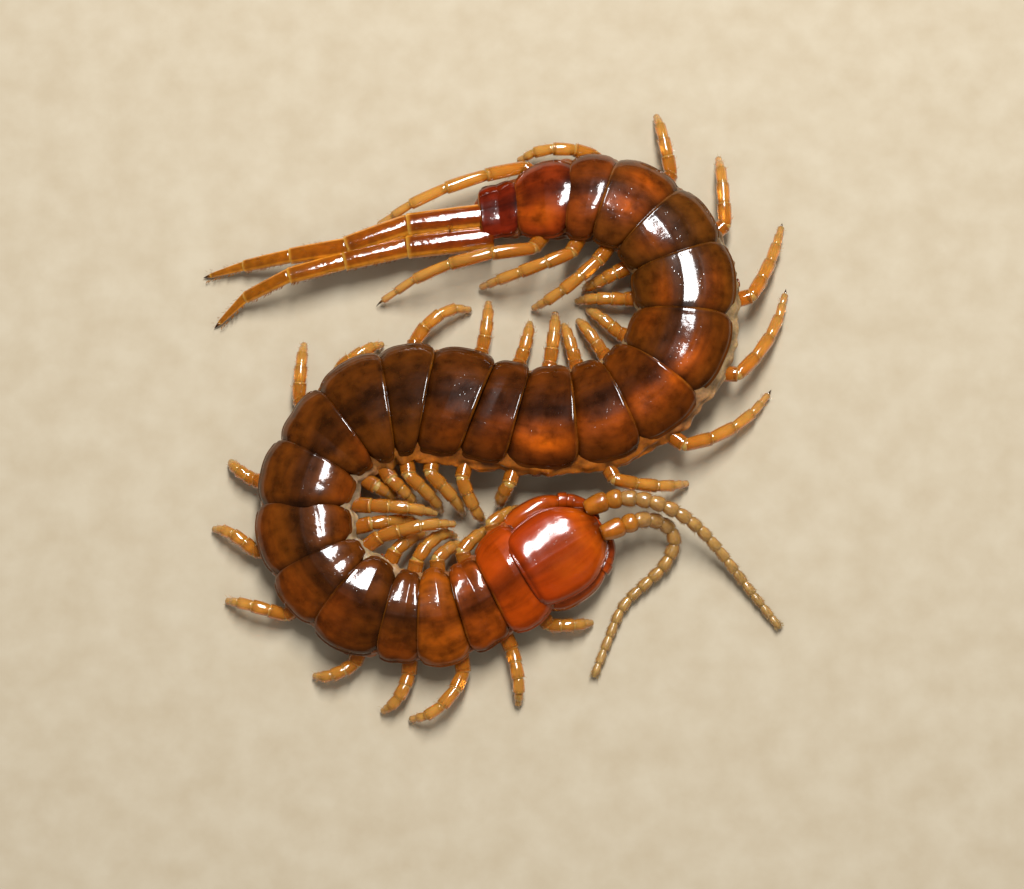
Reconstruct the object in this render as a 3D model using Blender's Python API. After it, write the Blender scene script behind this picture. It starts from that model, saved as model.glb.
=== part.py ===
"""Blue belly centipede: a bark centipede with 23 pairs of legs, life size, lying in an S.

Metres, +Z up, the floor at z = 0 and the origin under the middle of the whole animal.
The head end lies towards -Y and points to +X. The functions work in millimetres.
"""

import math

import numpy as np

import bmesh
import bpy

MM = 0.001
WELD = 1e-7  # metres: points of a tube's cap that lie closer than this are one
BARE_BEVEL_SIDES = 4  # sides of a curve's bevel at resolution 0
SHARP_EDGE = 50  # degrees between two faces that meet in a sharp edge
GAP = 0.3  # kept between nodes that meet face to face

# Body
# Each tergite from the head end: its length, its width, the way the body runs tailwards there
# in degrees from +X, and how far its borders are turned from straight across.
TERGITES = (
    (2.05, 4.25, 221, -10),
    (1.50, 3.60, 210, -5),
    (1.70, 4.00, 191, 0),
    (1.35, 3.70, 171, 0),
    (2.15, 4.10, 158, 0),
    (1.80, 3.90, 130, 0),
    (2.20, 3.95, 102, 0),
    (2.10, 4.00, 76, 0),
    (1.80, 4.05, 51, 0),
    (1.95, 4.75, 28, -3),
    (1.60, 4.90, 8, -8),
    (2.15, 4.90, -11, -9),
    (1.70, 4.60, -12, -9),
    (2.35, 4.50, -2, -6),
    (2.05, 4.45, 14, 0),
    (2.20, 4.30, 38, -3),
    (2.70, 4.25, 67, 4),
    (2.50, 4.30, 95, 0),
    (2.00, 4.30, 123, -4),
    (2.10, 4.20, 154, -5),
    (1.55, 4.00, 176, -7),
    (2.20, 3.50, 189, -6),
    (1.70, 2.35, 191, -5),
)
BODY_START = (1.54, -6.60)  # where the first tergite meets the head
ORIGIN = (-0.23, 0.04)  # the middle of the whole animal on the floor, where the origin is put
CUT = 0.36  # between two lengths of the trunk
BELLY = 0.55  # the belly's height over the floor
HEIGHT_SHARE = 0.47  # a body section's height over its width
ROLL_AXIS = 0.9  # the height over the belly about which the body rolls
ROLL_FRONT = 12.0  # degrees by which the left side is lifted, as far as the second bend
ROLL_BACK = -12.0
ROLL_TURNS = (17.5, 20.0)  # the tergites between which the roll changes over
TRUNK_LENGTHS = ((1, 3), (4, 6), (7, 9), (10, 12), (13, 15), (16, 18), (19, 21), (22, 23))

FLANK_POINTS = (6, 7)  # the points of a section that swell with the flank
HUB_HEIGHT = 0.45  # share of a section's height of the point towards which it dips

# Half a body section from the crown down to the belly: share of the half width, share of the
# height, and how far the point follows the dip between two plates.
SECTION = (
    (0.00, 1.00, 1.0),
    (0.36, 0.98, 1.0),
    (0.68, 0.89, 1.0),
    (0.90, 0.74, 1.0),
    (1.00, 0.57, 1.6),
    (0.93, 0.50, 1.2),
    (0.93, 0.30, 0.3),
    (0.72, 0.09, 0.4),
    (0.46, 0.00, 0.8),
    (0.00, 0.00, 0.8),
)
# Along one tergite, from its front lip to its rear edge: share of its length, dip below the
# plate's full height, and how far its side margins draw in.
PLATE = ((0.02, 0.15, 0.22), (0.16, 0.05, 0.09), (0.50, 0.0, 0.0), (0.86, 0.02, 0.03), (1.00, 0.07, 0.14))
# The soft left flank swells past the plates on the inside of the first bends: tergite and
# share of the half width.
FLANK = ((4, 0.0), (6, 0.13), (17, 0.13), (19, 0.0))

# Walking legs
# The articles from the body outwards, as shares of the leg: coxa, prefemur, femur, tibia,
# tarsus and claw.
ARTICLES = (0.09, 0.22, 0.22, 0.20, 0.21, 0.06)
LEG_LENGTH = 4.1
LEG_GROWTH = ((1, 0.80), (2, 0.92), (4, 1.0), (19, 1.0), (20, 1.15), (21, 1.27), (22, 2.0))
ROOT_OUT = 0.90  # share of the half width at which a leg leaves the body
ROOT_HEIGHT = 0.26  # share of the section's height at which it does
ROOT_CLEAR = 0.16  # more than the gap, for the width of the root
ARCH_MOST = 42.0  # degrees: a leg with less room than that bends under the body
ARCH_BIAS = 1.5  # over 1 keeps the knee towards the foot
HALVINGS = 30  # steps of the search for the arch that brings the foot to its place
# Rings of a leg: article, share of that article, radius.
LEG_RINGS = (
    (0, 0.0, 0.27),
    (1, 0.0, 0.27),
    (1, 0.70, 0.31),
    (2, 0.0, 0.26),
    (2, 0.65, 0.29),
    (3, 0.0, 0.24),
    (3, 0.65, 0.26),
    (4, 0.0, 0.21),
    (4, 0.50, 0.18),
    (5, 0.0, 0.11),
    (5, 1.0, 0.05),
)
# Where each pair's left and right feet stand, from the first pair: x, y, height, how far the
# leg bows towards the tail on its way, in degrees, and how far down its tergite its root is.
FEET = (
    ((1.05, -4.3, 0.04, 10, 0.42), (4.0, -8.9, 0.04, 15, 0.42)),
    ((-0.2, -5.2, 0.04, 20, 0.42), (0.9, -12.4, 0.04, -15, 0.20)),
    ((-1.45, -5.85, 0.04, 20, 0.42), (-3.6, -12.9, 0.04, -45, 0.25)),
    ((-1.65, -5.35, 0.04, 35, 0.48), (-4.7, -12.6, 0.04, -35, 0.25)),
    ((-2.9, -5.35, 0.04, 15, 0.35), (-7.5, -11.1, 0.04, -35, 0.30)),
    ((-1.6, -4.95, 0.95, 5, 0.50), (-11.2, -8.0, 0.04, 0, 0.42)),
    ((-3.2, -4.75, 0.04, 0, 0.42), (-11.8, -5.0, 0.04, 20, 0.42)),
    ((-2.4, -4.5, 0.80, 0, 0.20), (-11.1, -2.1, 0.04, -20, 0.42)),
    ((-4.25, -3.85, 0.04, 10, 0.25), (-8.1, 3.0, 0.04, 0, 0.70)),
    ((-3.4, -4.0, 0.50, 0, 0.25), (-4.75, 2.95, 0.04, -5, 0.42)),
    ((-2.3, -4.25, 0.04, 5, 0.52), (-1.0, 4.4, 0.04, -35, 0.60)),
    ((-1.35, -4.4, 0.04, 5, 0.52), (-0.35, 4.8, 0.04, 10, 0.70)),
    ((-0.5, -4.65, 0.04, -15, 0.25), (1.42, 3.9, 0.04, 10, 0.60)),
    ((0.35, -3.9, 0.04, -20, 0.20), (2.5, 4.35, 0.04, 5, 0.46)),
    ((8.1, -3.0, 0.04, -20, 0.42), (2.85, 3.8, 0.04, 0, 0.35)),
    ((11.6, 1.0, 0.04, -25, 0.42), (3.45, 4.0, 0.04, 0, 0.35)),
    ((12.3, 5.4, 0.04, -20, 0.35), (3.85, 4.45, 0.04, 0, 0.42)),
    ((12.2, 8.3, 0.04, -10, 0.25), (3.35, 4.8, 0.04, 0, 0.42)),
    ((9.5, 11.2, 0.04, 0, 0.20), (3.75, 5.4, 0.04, -15, 0.35)),
    ((6.85, 13.1, 0.04, 0, 0.25), (1.5, 4.5, 0.04, -20, 0.42)),
    ((0.85, 10.95, 0.04, -20, 0.42), (-0.75, 5.4, 0.04, -12, 0.42)),
    ((-5.3, 7.95, 0.04, -6, 0.55), (-5.1, 4.6, 0.04, 14, 0.42)),
)

# Last legs, trailed behind like a pair of feelers
LAST_LEG_ARTICLES = (3.2, 2.7, 2.4, 2.0, 1.75)
LAST_LEG_RADII = (0.40, 0.42, 0.38, 0.33, 0.25, 0.06)
LAST_LEG_SPREAD = 0.51  # either side of the body's line
# Along one article: share of its length, and how its radius swells or narrows there.
LAST_LEG_RINGS = ((0.12, 1.0), (0.85, 1.0), (1.0, 0.88))
# Each last leg: the headings of its articles in degrees and the heights of its joints.
LAST_LEG_LEFT = ((194, 197, 189, 188, 194), (1.20, 1.30, 1.10, 0.80, 0.42, 0.07))
LAST_LEG_RIGHT = ((195, 194, 196, 203, 221), (1.10, 1.20, 1.00, 0.74, 0.40, 0.07))

# Head
HEAD_LENGTH = 2.8
HEAD_WIDTH = 4.0
HEAD_HEADING = 32.0
HEAD_TOP = 2.65
HEAD_UNDERSIDE = 1.55
HEAD_EDGE = 0.42  # share of a section's height at which the plate's edge runs
HEAD_CHEEK = 0.10  # share of the height by which the cheek lies under the edge
# Along the head from its rear: share of the length, share of the half width, share of the height.
HEAD_STATIONS = (
    (0.00, 0.95, 0.90),
    (0.15, 0.99, 0.97),
    (0.45, 1.00, 1.00),
    (0.70, 0.92, 0.96),
    (0.85, 0.78, 0.86),
    (0.95, 0.60, 0.72),
    (1.00, 0.42, 0.58),
)
FORCIPULE_BASE_LENGTH = 1.9
FORCIPULE_BASE_WIDTH = 3.1
FORCIPULE_BASE_HEIGHTS = (0.78, 1.25)
# Along the base from its rear: share of its length and of its half width.
FORCIPULE_BASE_STATIONS = ((0.0, 0.80), (0.3, 0.92), (0.7, 0.90), (0.92, 0.72), (1.0, 0.50))
# Half a section of the base: share of the half width and of the height.
FORCIPULE_BASE_SECTION = ((0.80, 0.0), (1.0, 0.42), (1.0, 0.75), (0.85, 1.0))
# A forcipule from its root to its tip: along the head, out from its middle, height, radius.
FORCIPULE = (
    (0.75, 1.98, 0.84, 0.28),
    (1.35, 2.02, 0.86, 0.36),
    (2.05, 1.95, 0.86, 0.38),
    (2.65, 1.65, 0.84, 0.33),
    (3.05, 1.25, 0.80, 0.26),
    (3.30, 0.82, 0.74, 0.16),
    (3.36, 0.50, 0.70, 0.05),
)

# Antennae
ANTENNA_ARTICLES = 17
ANTENNA_LENGTH = 10.2
ANTENNA_RADII = (0.33, 0.25, 0.16)  # root, middle and tip
ANTENNA_ROOT = (3.10, 0.62, 1.95)  # along the head, out from its middle, height
ANTENNA_RINGS = ((0.08, 0.80), (0.70, 1.0))  # share of an article, and how its radius swells
ANTENNA_TIP = 0.08
ANTENNA_SAMPLES = 170
STEEPEST = 0.05  # the least share of a step that runs level, squared
# Headings in degrees and heights at even steps from root to tip.
ANTENNA_LEFT = (
    (25, 2, -15, -30, -42, -50, -52, -52, -50),
    (1.95, 2.0, 1.95, 1.7, 1.2, 0.7, 0.4, 0.28, 0.2),
)
ANTENNA_RIGHT = (
    (23, 20, -20, -110, -138, -138, -112, -112, -110),
    (1.95, 1.75, 1.1, 0.6, 0.4, 0.3, 0.27, 0.25, 0.2),
)

LENGTHS, WIDTHS, HEADINGS, SKEWS = (np.array(column, float) for column in zip(*TERGITES))
BORDERS = np.concatenate([[0.0], np.cumsum(LENGTHS)])
MIDDLES = (BORDERS[:-1] + BORDERS[1:]) / 2
NUMBERS = np.arange(1, len(TERGITES) + 1)
BODY_LENGTH = BORDERS[-1]
STEP = 0.02  # between two samples of the body's line
PAST_END = 1.0  # the line runs on that far, to the roots of the last legs
ARC = np.arange(0.0, BODY_LENGTH + PAST_END, STEP)
ARC_HEADING = np.radians(np.interp(ARC, MIDDLES, HEADINGS))
LINE_X = BODY_START[0] + np.cumsum(np.cos(ARC_HEADING)) * STEP
LINE_Y = BODY_START[1] + np.cumsum(np.sin(ARC_HEADING)) * STEP


def along(s, line):
    """The value at arc length s of one of the lines sampled along the body."""
    return float(np.interp(s, ARC, line))


def roll_at(s):
    """How far the body is rolled at s, in radians: positive lifts its left side."""
    start, end = (float(np.interp(t, NUMBERS, MIDDLES)) for t in ROLL_TURNS)
    share = min(1.0, max(0.0, (s - start) / (end - start)))
    share = share * share * (3 - 2 * share)
    return math.radians(ROLL_FRONT + (ROLL_BACK - ROLL_FRONT) * share)


def body_axes(s):
    """The body's line at s and its directions there: centre, left and up."""
    h = along(s, ARC_HEADING) + math.radians(float(np.interp(s, MIDDLES, SKEWS)))
    roll = roll_at(s)
    flat_left = np.array((math.sin(h), -math.cos(h), 0.0))
    z = np.array((0.0, 0.0, 1.0))
    left = flat_left * math.cos(roll) + z * math.sin(roll)
    up = z * math.cos(roll) - flat_left * math.sin(roll)
    centre = np.array((along(s, LINE_X), along(s, LINE_Y), BELLY + ROLL_AXIS))
    return centre, left, up


def body_point(s, out, height):
    """The point at arc length s, out to the left of the middle, and height above the belly."""
    centre, left, up = body_axes(s)
    return centre + left * out + up * (height - ROLL_AXIS)


def half_width(s):
    return float(np.interp(s, MIDDLES, WIDTHS)) / 2


def flank_swell(s, side):
    """How far the soft flank stands past the plates, as a share of the half width."""
    if side < 0:
        return 0.0
    tergites, swell = zip(*FLANK)
    return float(np.interp(np.interp(s, MIDDLES, NUMBERS), tergites, swell))


def half_section(s, dip, draw, side):
    """Points down one side of a body section, from the crown to the middle of the belly."""
    half = half_width(s) - draw
    tall = 2 * half_width(s) * HEIGHT_SHARE
    hub = np.array((0.0, HUB_HEIGHT * tall))
    swell = flank_swell(s, side)
    points = []
    for number, (out, height, follows) in enumerate(SECTION):
        if number in FLANK_POINTS:
            out += swell
        flat = np.array((out * half, height * tall))
        flat -= (flat - hub) / np.linalg.norm(flat - hub) * dip * follows
        points.append((side * flat[0], flat[1]))
    return points


def trunk_ring(s, dip, draw):
    """One closed section of the body at s, sunk by dip and drawn in at its sides."""
    left, right = (half_section(s, dip, draw, side) for side in (1, -1))
    return [body_point(s, out, height) for out, height in left + right[-2:0:-1]]


def trunk_rings(first, last):
    """The sections of one length of the trunk, from tergite first to tergite last."""
    rings = []
    for tergite in range(first - 1, last):
        start = BORDERS[tergite] + (CUT / 2 if tergite == first - 1 and tergite > 0 else 0.0)
        end = BORDERS[tergite + 1] - (CUT / 2 if tergite == last - 1 else 0.0)
        rings += [trunk_ring(start + share * (end - start), dip, draw) for share, dip, draw in PLATE]
    return rings


def leg_length(pair):
    pairs, growth = zip(*LEG_GROWTH)
    return LEG_LENGTH * float(np.interp(pair, pairs, growth))


def turn_z(vector, angle):
    """The vector turned about the vertical."""
    x, y, z = vector
    cos, sin = math.cos(angle), math.sin(angle)
    return np.array((x * cos - y * sin, x * sin + y * cos, z))


def turn_y(vector, angle):
    """The vector turned so that +X rises."""
    x, y, z = vector
    cos, sin = math.cos(angle), math.sin(angle)
    return np.array((x * cos - z * sin, y, x * sin + z * cos))


def chain(sizes, bow, arch):
    """Joints of a leg from the origin, running out along +X, bowed sideways and arched."""
    middles = (np.cumsum(sizes) - sizes / 2) / np.sum(sizes)
    joints = [np.zeros(3)]
    for size, m in zip(sizes, middles):
        azimuth = bow * (1 - 2 * m)
        pitch = arch * (1 - 2 * m**ARCH_BIAS)
        flat = math.cos(pitch)
        step = (flat * math.cos(azimuth), flat * math.sin(azimuth), math.sin(pitch))
        joints.append(joints[-1] + size * np.array(step))
    return joints


def leg_joints(pair, side):
    """A walking leg's joints from the body out to the claw. side is 1 for left and -1 for right."""
    foot_x, foot_y, foot_z, bow, root_share = FEET[pair - 1][0 if side > 0 else 1]
    s = BORDERS[pair - 1] + root_share * LENGTHS[pair - 1]
    half = half_width(s)
    out = (ROOT_OUT + flank_swell(s, side)) * half + GAP + ROOT_CLEAR
    root = body_point(s, side * out, ROOT_HEIGHT * 2 * half * HEIGHT_SHARE)
    reach = np.array((foot_x, foot_y, foot_z)) - root
    distance = np.linalg.norm(reach)
    sizes = np.array(ARTICLES) * leg_length(pair)
    low, high = 0.0, math.radians(ARCH_MOST)
    for _ in range(HALVINGS):
        arch = (low + high) / 2
        joints = chain(sizes, side * math.radians(bow), arch)
        low, high = (arch, high) if np.linalg.norm(joints[-1]) > distance else (low, arch)
    end = joints[-1]
    scale = distance / np.linalg.norm(end)
    tilt = math.asin(reach[2] / distance) - math.asin(end[2] / np.linalg.norm(end))
    turned = []
    for joint in joints:
        straight = turn_z(joint, -math.atan2(end[1], end[0])) * scale
        lifted = turn_y(straight, tilt)
        turned.append(root + turn_z(lifted, math.atan2(reach[1], reach[0])))
    return turned


def leg_path(joints):
    """Ring centres and radii of a walking leg, from its joints."""
    centres = [joints[k] + share * (joints[k + 1] - joints[k]) for k, share, _ in LEG_RINGS]
    return centres, [radius for _, _, radius in LEG_RINGS]


def last_leg_path(side):
    """Ring centres and radii of a last leg: side is 1 for left and -1 for right."""
    headings, heights = LAST_LEG_LEFT if side > 0 else LAST_LEG_RIGHT
    start = body_point(BODY_LENGTH + GAP, side * LAST_LEG_SPREAD, 0.0)
    x, y = start[0], start[1]
    joints = [np.array((x, y, heights[0]))]
    for size, heading, z in zip(LAST_LEG_ARTICLES, headings, heights[1:]):
        x += size * math.cos(math.radians(heading))
        y += size * math.sin(math.radians(heading))
        joints.append(np.array((x, y, z)))
    centres, radii = [joints[0]], [LAST_LEG_RADII[0]]
    for k in range(len(joints) - 1):
        for share, swell in LAST_LEG_RINGS:
            centres.append(joints[k] + share * (joints[k + 1] - joints[k]))
            wide = LAST_LEG_RADII[k] + share * (LAST_LEG_RADII[k + 1] - LAST_LEG_RADII[k])
            radii.append(wide * swell)
    return centres, radii


def head_point(forward, out, height):
    """A point of the head: forward from its rear, out to its left, and over the floor."""
    a = math.radians(HEAD_HEADING)
    rear = np.array((BODY_START[0], BODY_START[1])) + GAP * np.array((math.cos(a), math.sin(a)))
    x = rear[0] + forward * math.cos(a) - out * math.sin(a)
    y = rear[1] + forward * math.sin(a) + out * math.cos(a)
    return np.array((x, y, height))


def forcipule_path(side):
    centres = [head_point(forward, side * out, height) for forward, out, height, _ in FORCIPULE]
    return centres, [radius for _, _, _, radius in FORCIPULE]


def antenna_path(side):
    """Ring centres and radii of an antenna's string of articles."""
    headings, heights = ANTENNA_LEFT if side > 0 else ANTENNA_RIGHT
    shares = np.linspace(0.0, 1.0, ANTENNA_SAMPLES + 1)
    knots = np.linspace(0.0, 1.0, len(headings))
    azimuth = np.radians(np.interp(shares, knots, headings))
    z = np.interp(shares, knots, heights)
    step = ANTENNA_LENGTH / ANTENNA_SAMPLES
    flat = np.sqrt(np.maximum(STEEPEST, 1 - np.gradient(z, step) ** 2)) * step
    start = head_point(ANTENNA_ROOT[0], side * ANTENNA_ROOT[1], ANTENNA_ROOT[2])
    x = start[0] + np.cumsum(flat * np.cos(azimuth))
    y = start[1] + np.cumsum(flat * np.sin(azimuth))
    centres, radii = [], []
    for article in range(ANTENNA_ARTICLES):
        for share, swell in ANTENNA_RINGS:
            where = (article + share) / ANTENNA_ARTICLES
            centres.append(np.array([np.interp(where, shares, line) for line in (x, y, z)]))
            radii.append(swell * float(np.interp(where, (0, 0.5, 1), ANTENNA_RADII)))
    centres.append(np.array((x[-1], y[-1], z[-1])))
    radii.append(ANTENNA_TIP)
    return centres, radii


# Blender objects


def clear_scene():
    for old in list(bpy.data.objects):
        bpy.data.objects.remove(old)


def skin_material(name, colour, roughness):
    """A Principled BSDF in the colour of one kind of cuticle."""
    made = bpy.data.materials.new(name)
    made.use_nodes = True
    shader = made.node_tree.nodes["Principled BSDF"]
    shader.inputs["Base Color"].default_value = (*colour, 1.0)
    shader.inputs["Roughness"].default_value = roughness
    shader.inputs["Metallic"].default_value = 0.0
    return made


def metres(point):
    """A point in metres from the part's origin."""
    return ((point[0] - ORIGIN[0]) * MM, (point[1] - ORIGIN[1]) * MM, point[2] * MM)


def add_object(name, mesh, material, collection):
    mesh.materials.append(material)
    mesh.shade_smooth()
    mesh.set_sharp_from_angle(angle=math.radians(SHARP_EDGE))
    made = bpy.data.objects.new(name, mesh)
    collection.objects.link(made)
    return made


def loft(name, rings, material, collection):
    """One closed body through rings of like point counts, given in millimetres."""
    bm = bmesh.new()
    rows = [[bm.verts.new(metres(point)) for point in ring] for ring in rings]
    sides = len(rows[0])
    for near, far in zip(rows, rows[1:]):
        for k in range(sides):
            after = (k + 1) % sides
            bm.faces.new((near[k], near[after], far[after], far[k]))
    bm.faces.new(reversed(rows[0]))
    bm.faces.new(rows[-1])
    bmesh.ops.triangulate(bm, faces=bm.faces)
    if bm.calc_volume(signed=True) < 0:
        bmesh.ops.reverse_faces(bm, faces=bm.faces)
    mesh = bpy.data.meshes.new(name)
    bm.to_mesh(mesh)
    bm.free()
    return add_object(name, mesh, material, collection)


def tube(name, path, sides, material, collection):
    """A tapered round tube along a path, flattened where it lies on the floor."""
    centres, radii = path
    curve = bpy.data.curves.new(name, "CURVE")
    curve.dimensions = "3D"
    curve.bevel_depth = MM
    curve.bevel_resolution = (sides - BARE_BEVEL_SIDES) // 2
    curve.use_fill_caps = True
    spline = curve.splines.new("POLY")
    spline.points.add(len(centres) - 1)
    for point, centre, radius in zip(spline.points, centres, radii):
        point.co = (*metres(centre), 1.0)
        point.radius = radius
    guide = bpy.data.objects.new(name + "_guide", curve)
    collection.objects.link(guide)
    bpy.context.view_layer.update()
    evaluated = guide.evaluated_get(bpy.context.evaluated_depsgraph_get())
    mesh = bpy.data.meshes.new_from_object(evaluated)
    bpy.data.objects.remove(guide)
    mesh.name = name
    bm = bmesh.new()
    bm.from_mesh(mesh)
    bmesh.ops.remove_doubles(bm, verts=bm.verts, dist=WELD)
    for vert in bm.verts:
        vert.co.z = max(vert.co.z, 0.0)
    bmesh.ops.recalc_face_normals(bm, faces=bm.faces)
    bm.to_mesh(mesh)
    bm.free()
    mesh.materials.clear()
    return add_object(name, mesh, material, collection)


def head_rings():
    """Sections of the head from its rear to its front, under one domed plate."""
    rings = []
    for share, wide, tall in HEAD_STATIONS:
        half = wide * HEAD_WIDTH / 2
        top = HEAD_UNDERSIDE + tall * (HEAD_TOP - HEAD_UNDERSIDE)
        edge = HEAD_UNDERSIDE + HEAD_EDGE * (top - HEAD_UNDERSIDE)
        cheek = edge - HEAD_CHEEK * (top - HEAD_UNDERSIDE)
        outline = [
            (0.0, top),
            (0.42 * half, top - 0.04 * half),
            (0.75 * half, top - 0.14 * half),
            (0.94 * half, edge + 0.30 * (top - edge)),
            (1.00 * half, edge),
            (0.94 * half, cheek),
            (0.80 * half, HEAD_UNDERSIDE),
            (0.0, HEAD_UNDERSIDE),
        ]
        whole = outline + [(-out, height) for out, height in outline[-2:0:-1]]
        rings.append([head_point(share * HEAD_LENGTH, out, height) for out, height in whole])
    return rings


def forcipule_base_rings():
    """The broad plate under the head that carries the two forcipules."""
    low, high = FORCIPULE_BASE_HEIGHTS
    mirrored = [(-out, height) for out, height in reversed(FORCIPULE_BASE_SECTION)]
    rings = []
    for share, wide in FORCIPULE_BASE_STATIONS:
        half = wide * FORCIPULE_BASE_WIDTH / 2
        forward = share * FORCIPULE_BASE_LENGTH
        rings.append(
            [
                head_point(forward, out * half, low + height * (high - low))
                for out, height in (*FORCIPULE_BASE_SECTION, *mirrored)
            ]
        )
    return rings


def build_head(materials, collection):
    loft("head", head_rings(), materials["head"], collection)
    loft("forcipule_base", forcipule_base_rings(), materials["head"], collection)
    for name, side in (("left", 1), ("right", -1)):
        tube(f"forcipule_{name}", forcipule_path(side), 8, materials["head"], collection)
        tube(f"antenna_{name}", antenna_path(side), 6, materials["antenna"], collection)


def build_trunk(materials, collection):
    for first, last in TRUNK_LENGTHS:
        name = f"trunk_{first:02d}_{last:02d}"
        loft(name, trunk_rings(first, last), materials["trunk"], collection)


def build_legs(materials, collection):
    for name, side in (("left", 1), ("right", -1)):
        for pair in range(1, len(FEET) + 1):
            path = leg_path(leg_joints(pair, side))
            tube(f"leg_{name}_{pair:02d}", path, 6, materials["leg"], collection)
        tube(f"last_leg_{name}", last_leg_path(side), 8, materials["last leg"], collection)


def main():
    clear_scene()
    collection = bpy.data.collections.new("Blue belly centipede")
    bpy.context.scene.collection.children.link(collection)
    materials = {
        "head": skin_material("orange head cuticle", (0.47, 0.065, 0.006), 0.25),
        "trunk": skin_material("brown trunk cuticle", (0.16, 0.042, 0.006), 0.22),
        "leg": skin_material("amber leg cuticle", (0.45, 0.17, 0.03), 0.30),
        "last leg": skin_material("tawny last leg cuticle", (0.42, 0.095, 0.008), 0.22),
        "antenna": skin_material("downy antenna cuticle", (0.48, 0.19, 0.06), 0.55),
    }
    build_head(materials, collection)
    build_trunk(materials, collection)
    build_legs(materials, collection)


main()
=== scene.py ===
# %% [markdown]
# # A bark centipede as a life-size museum model
#
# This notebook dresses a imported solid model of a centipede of 25 mm. The animal lies in an S on
# a pale floor, its head to the right, its last legs trailed behind it to the left. A centipede
# is a chain of hard plates hung on a soft tube: a tergite on each segment's back, a sternite
# under it, two legs at its sides, and a grey folded membrane between them that lets it bend.
# So that is how it is built here, piece by piece, each piece on the solid that it stands for.
#
# All sizes are in millimetres in the functions, and become metres at the last step.

import math

import bpy
import numpy as np
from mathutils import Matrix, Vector


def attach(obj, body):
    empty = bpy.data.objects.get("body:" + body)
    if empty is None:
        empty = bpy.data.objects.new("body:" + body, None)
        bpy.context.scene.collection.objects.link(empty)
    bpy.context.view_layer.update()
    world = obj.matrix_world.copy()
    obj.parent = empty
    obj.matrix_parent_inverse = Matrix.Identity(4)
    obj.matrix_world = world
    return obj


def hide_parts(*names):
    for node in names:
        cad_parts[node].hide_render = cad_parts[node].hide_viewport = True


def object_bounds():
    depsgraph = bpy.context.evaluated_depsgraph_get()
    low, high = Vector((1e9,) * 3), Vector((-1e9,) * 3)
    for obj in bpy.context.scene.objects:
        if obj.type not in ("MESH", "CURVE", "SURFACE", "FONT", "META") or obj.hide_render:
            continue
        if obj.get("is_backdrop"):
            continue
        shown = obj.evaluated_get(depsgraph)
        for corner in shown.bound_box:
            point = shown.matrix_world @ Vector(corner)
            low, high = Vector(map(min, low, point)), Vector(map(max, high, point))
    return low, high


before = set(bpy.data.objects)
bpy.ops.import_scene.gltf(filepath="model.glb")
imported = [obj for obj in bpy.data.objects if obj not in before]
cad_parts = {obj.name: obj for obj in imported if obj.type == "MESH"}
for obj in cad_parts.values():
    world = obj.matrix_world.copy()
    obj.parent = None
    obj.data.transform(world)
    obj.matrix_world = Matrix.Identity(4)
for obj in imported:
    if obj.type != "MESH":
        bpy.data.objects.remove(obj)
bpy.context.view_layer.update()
print("solids in the frame:", len(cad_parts))

# %% [markdown]
# ## The body's own coordinates
#
# Every plate, fold and leg is placed by how far along the body it is, how far out from the
# middle, and how high over the belly. One table gives each segment's length, width and heading,
# and a line is stepped out through it, so that a plate can be shaped as if the animal lay
# straight. A curve object with a Curve modifier could bend straight plates too, but it would
# also shear them in the tight bends; here each border keeps its own true angle.

# %% Segments
MM = 0.001
# Each tergite from the head end: its length, its width, the way the body runs tailwards there
# in degrees from +X, and how far its borders are turned from straight across.
TERGITES = (
    (2.05, 4.25, 221, -10), (1.50, 3.60, 210, -5), (1.70, 4.00, 191, 0), (1.35, 3.70, 171, 0),
    (2.15, 4.10, 158, 0), (1.80, 3.90, 130, 0), (2.20, 3.95, 102, 0), (2.10, 4.00, 76, 0),
    (1.80, 4.05, 51, 0), (1.95, 4.75, 28, -3), (1.60, 4.90, 8, -8), (2.15, 4.90, -11, -9),
    (1.70, 4.60, -12, -9), (2.35, 4.50, -2, -6), (2.05, 4.45, 14, 0), (2.20, 4.30, 38, -3),
    (2.70, 4.25, 67, 4), (2.50, 4.30, 95, 0), (2.00, 4.30, 123, -4), (2.10, 4.20, 154, -5),
    (1.55, 4.00, 176, -7), (2.20, 3.50, 189, -6), (1.70, 2.35, 191, -5),
)
BODY_START = (1.54, -6.60)  # where the first tergite meets the head
ORIGIN = (-0.23, 0.04)  # the middle of the whole animal on the floor
BELLY = 0.55  # the belly's height over the floor
HEIGHT_SHARE = 0.47  # a body section's height over its width
ROLL_AXIS = 0.9  # the height over the belly about which the body rolls
ROLL_FRONT = 12.0  # degrees by which the left side is lifted, as far as the second bend
ROLL_BACK = -12.0  # and behind it
ROLL_TURNS = (17.5, 20.0)  # the tergites between which the roll changes over
ROLL_SHARE = 0.60  # share of that roll that the plates and the skin show
GAP = 0.3  # between the trunk and a leg's solid, and between the head's and the first tergite
STEP = 0.02  # between two samples of the body's line
PAST_END = 1.0  # how far that line goes on behind the last tergite

LENGTHS, WIDTHS, HEADINGS, SKEWS = (np.array(column, float) for column in zip(*TERGITES))
SEGMENTS = len(TERGITES)
BORDERS = np.concatenate([[0.0], np.cumsum(LENGTHS)])
MIDDLES = (BORDERS[:-1] + BORDERS[1:]) / 2
NUMBERS = np.arange(1, SEGMENTS + 1)
BODY_LENGTH = BORDERS[-1]
ARC = np.arange(0.0, BODY_LENGTH + PAST_END, STEP)
ARC_HEADING = np.radians(np.interp(ARC, MIDDLES, HEADINGS))
LINE_X = BODY_START[0] + np.cumsum(np.cos(ARC_HEADING)) * STEP
LINE_Y = BODY_START[1] + np.cumsum(np.sin(ARC_HEADING)) * STEP
print(f"{SEGMENTS} segments, {BODY_LENGTH:.1f} mm of body")


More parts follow.
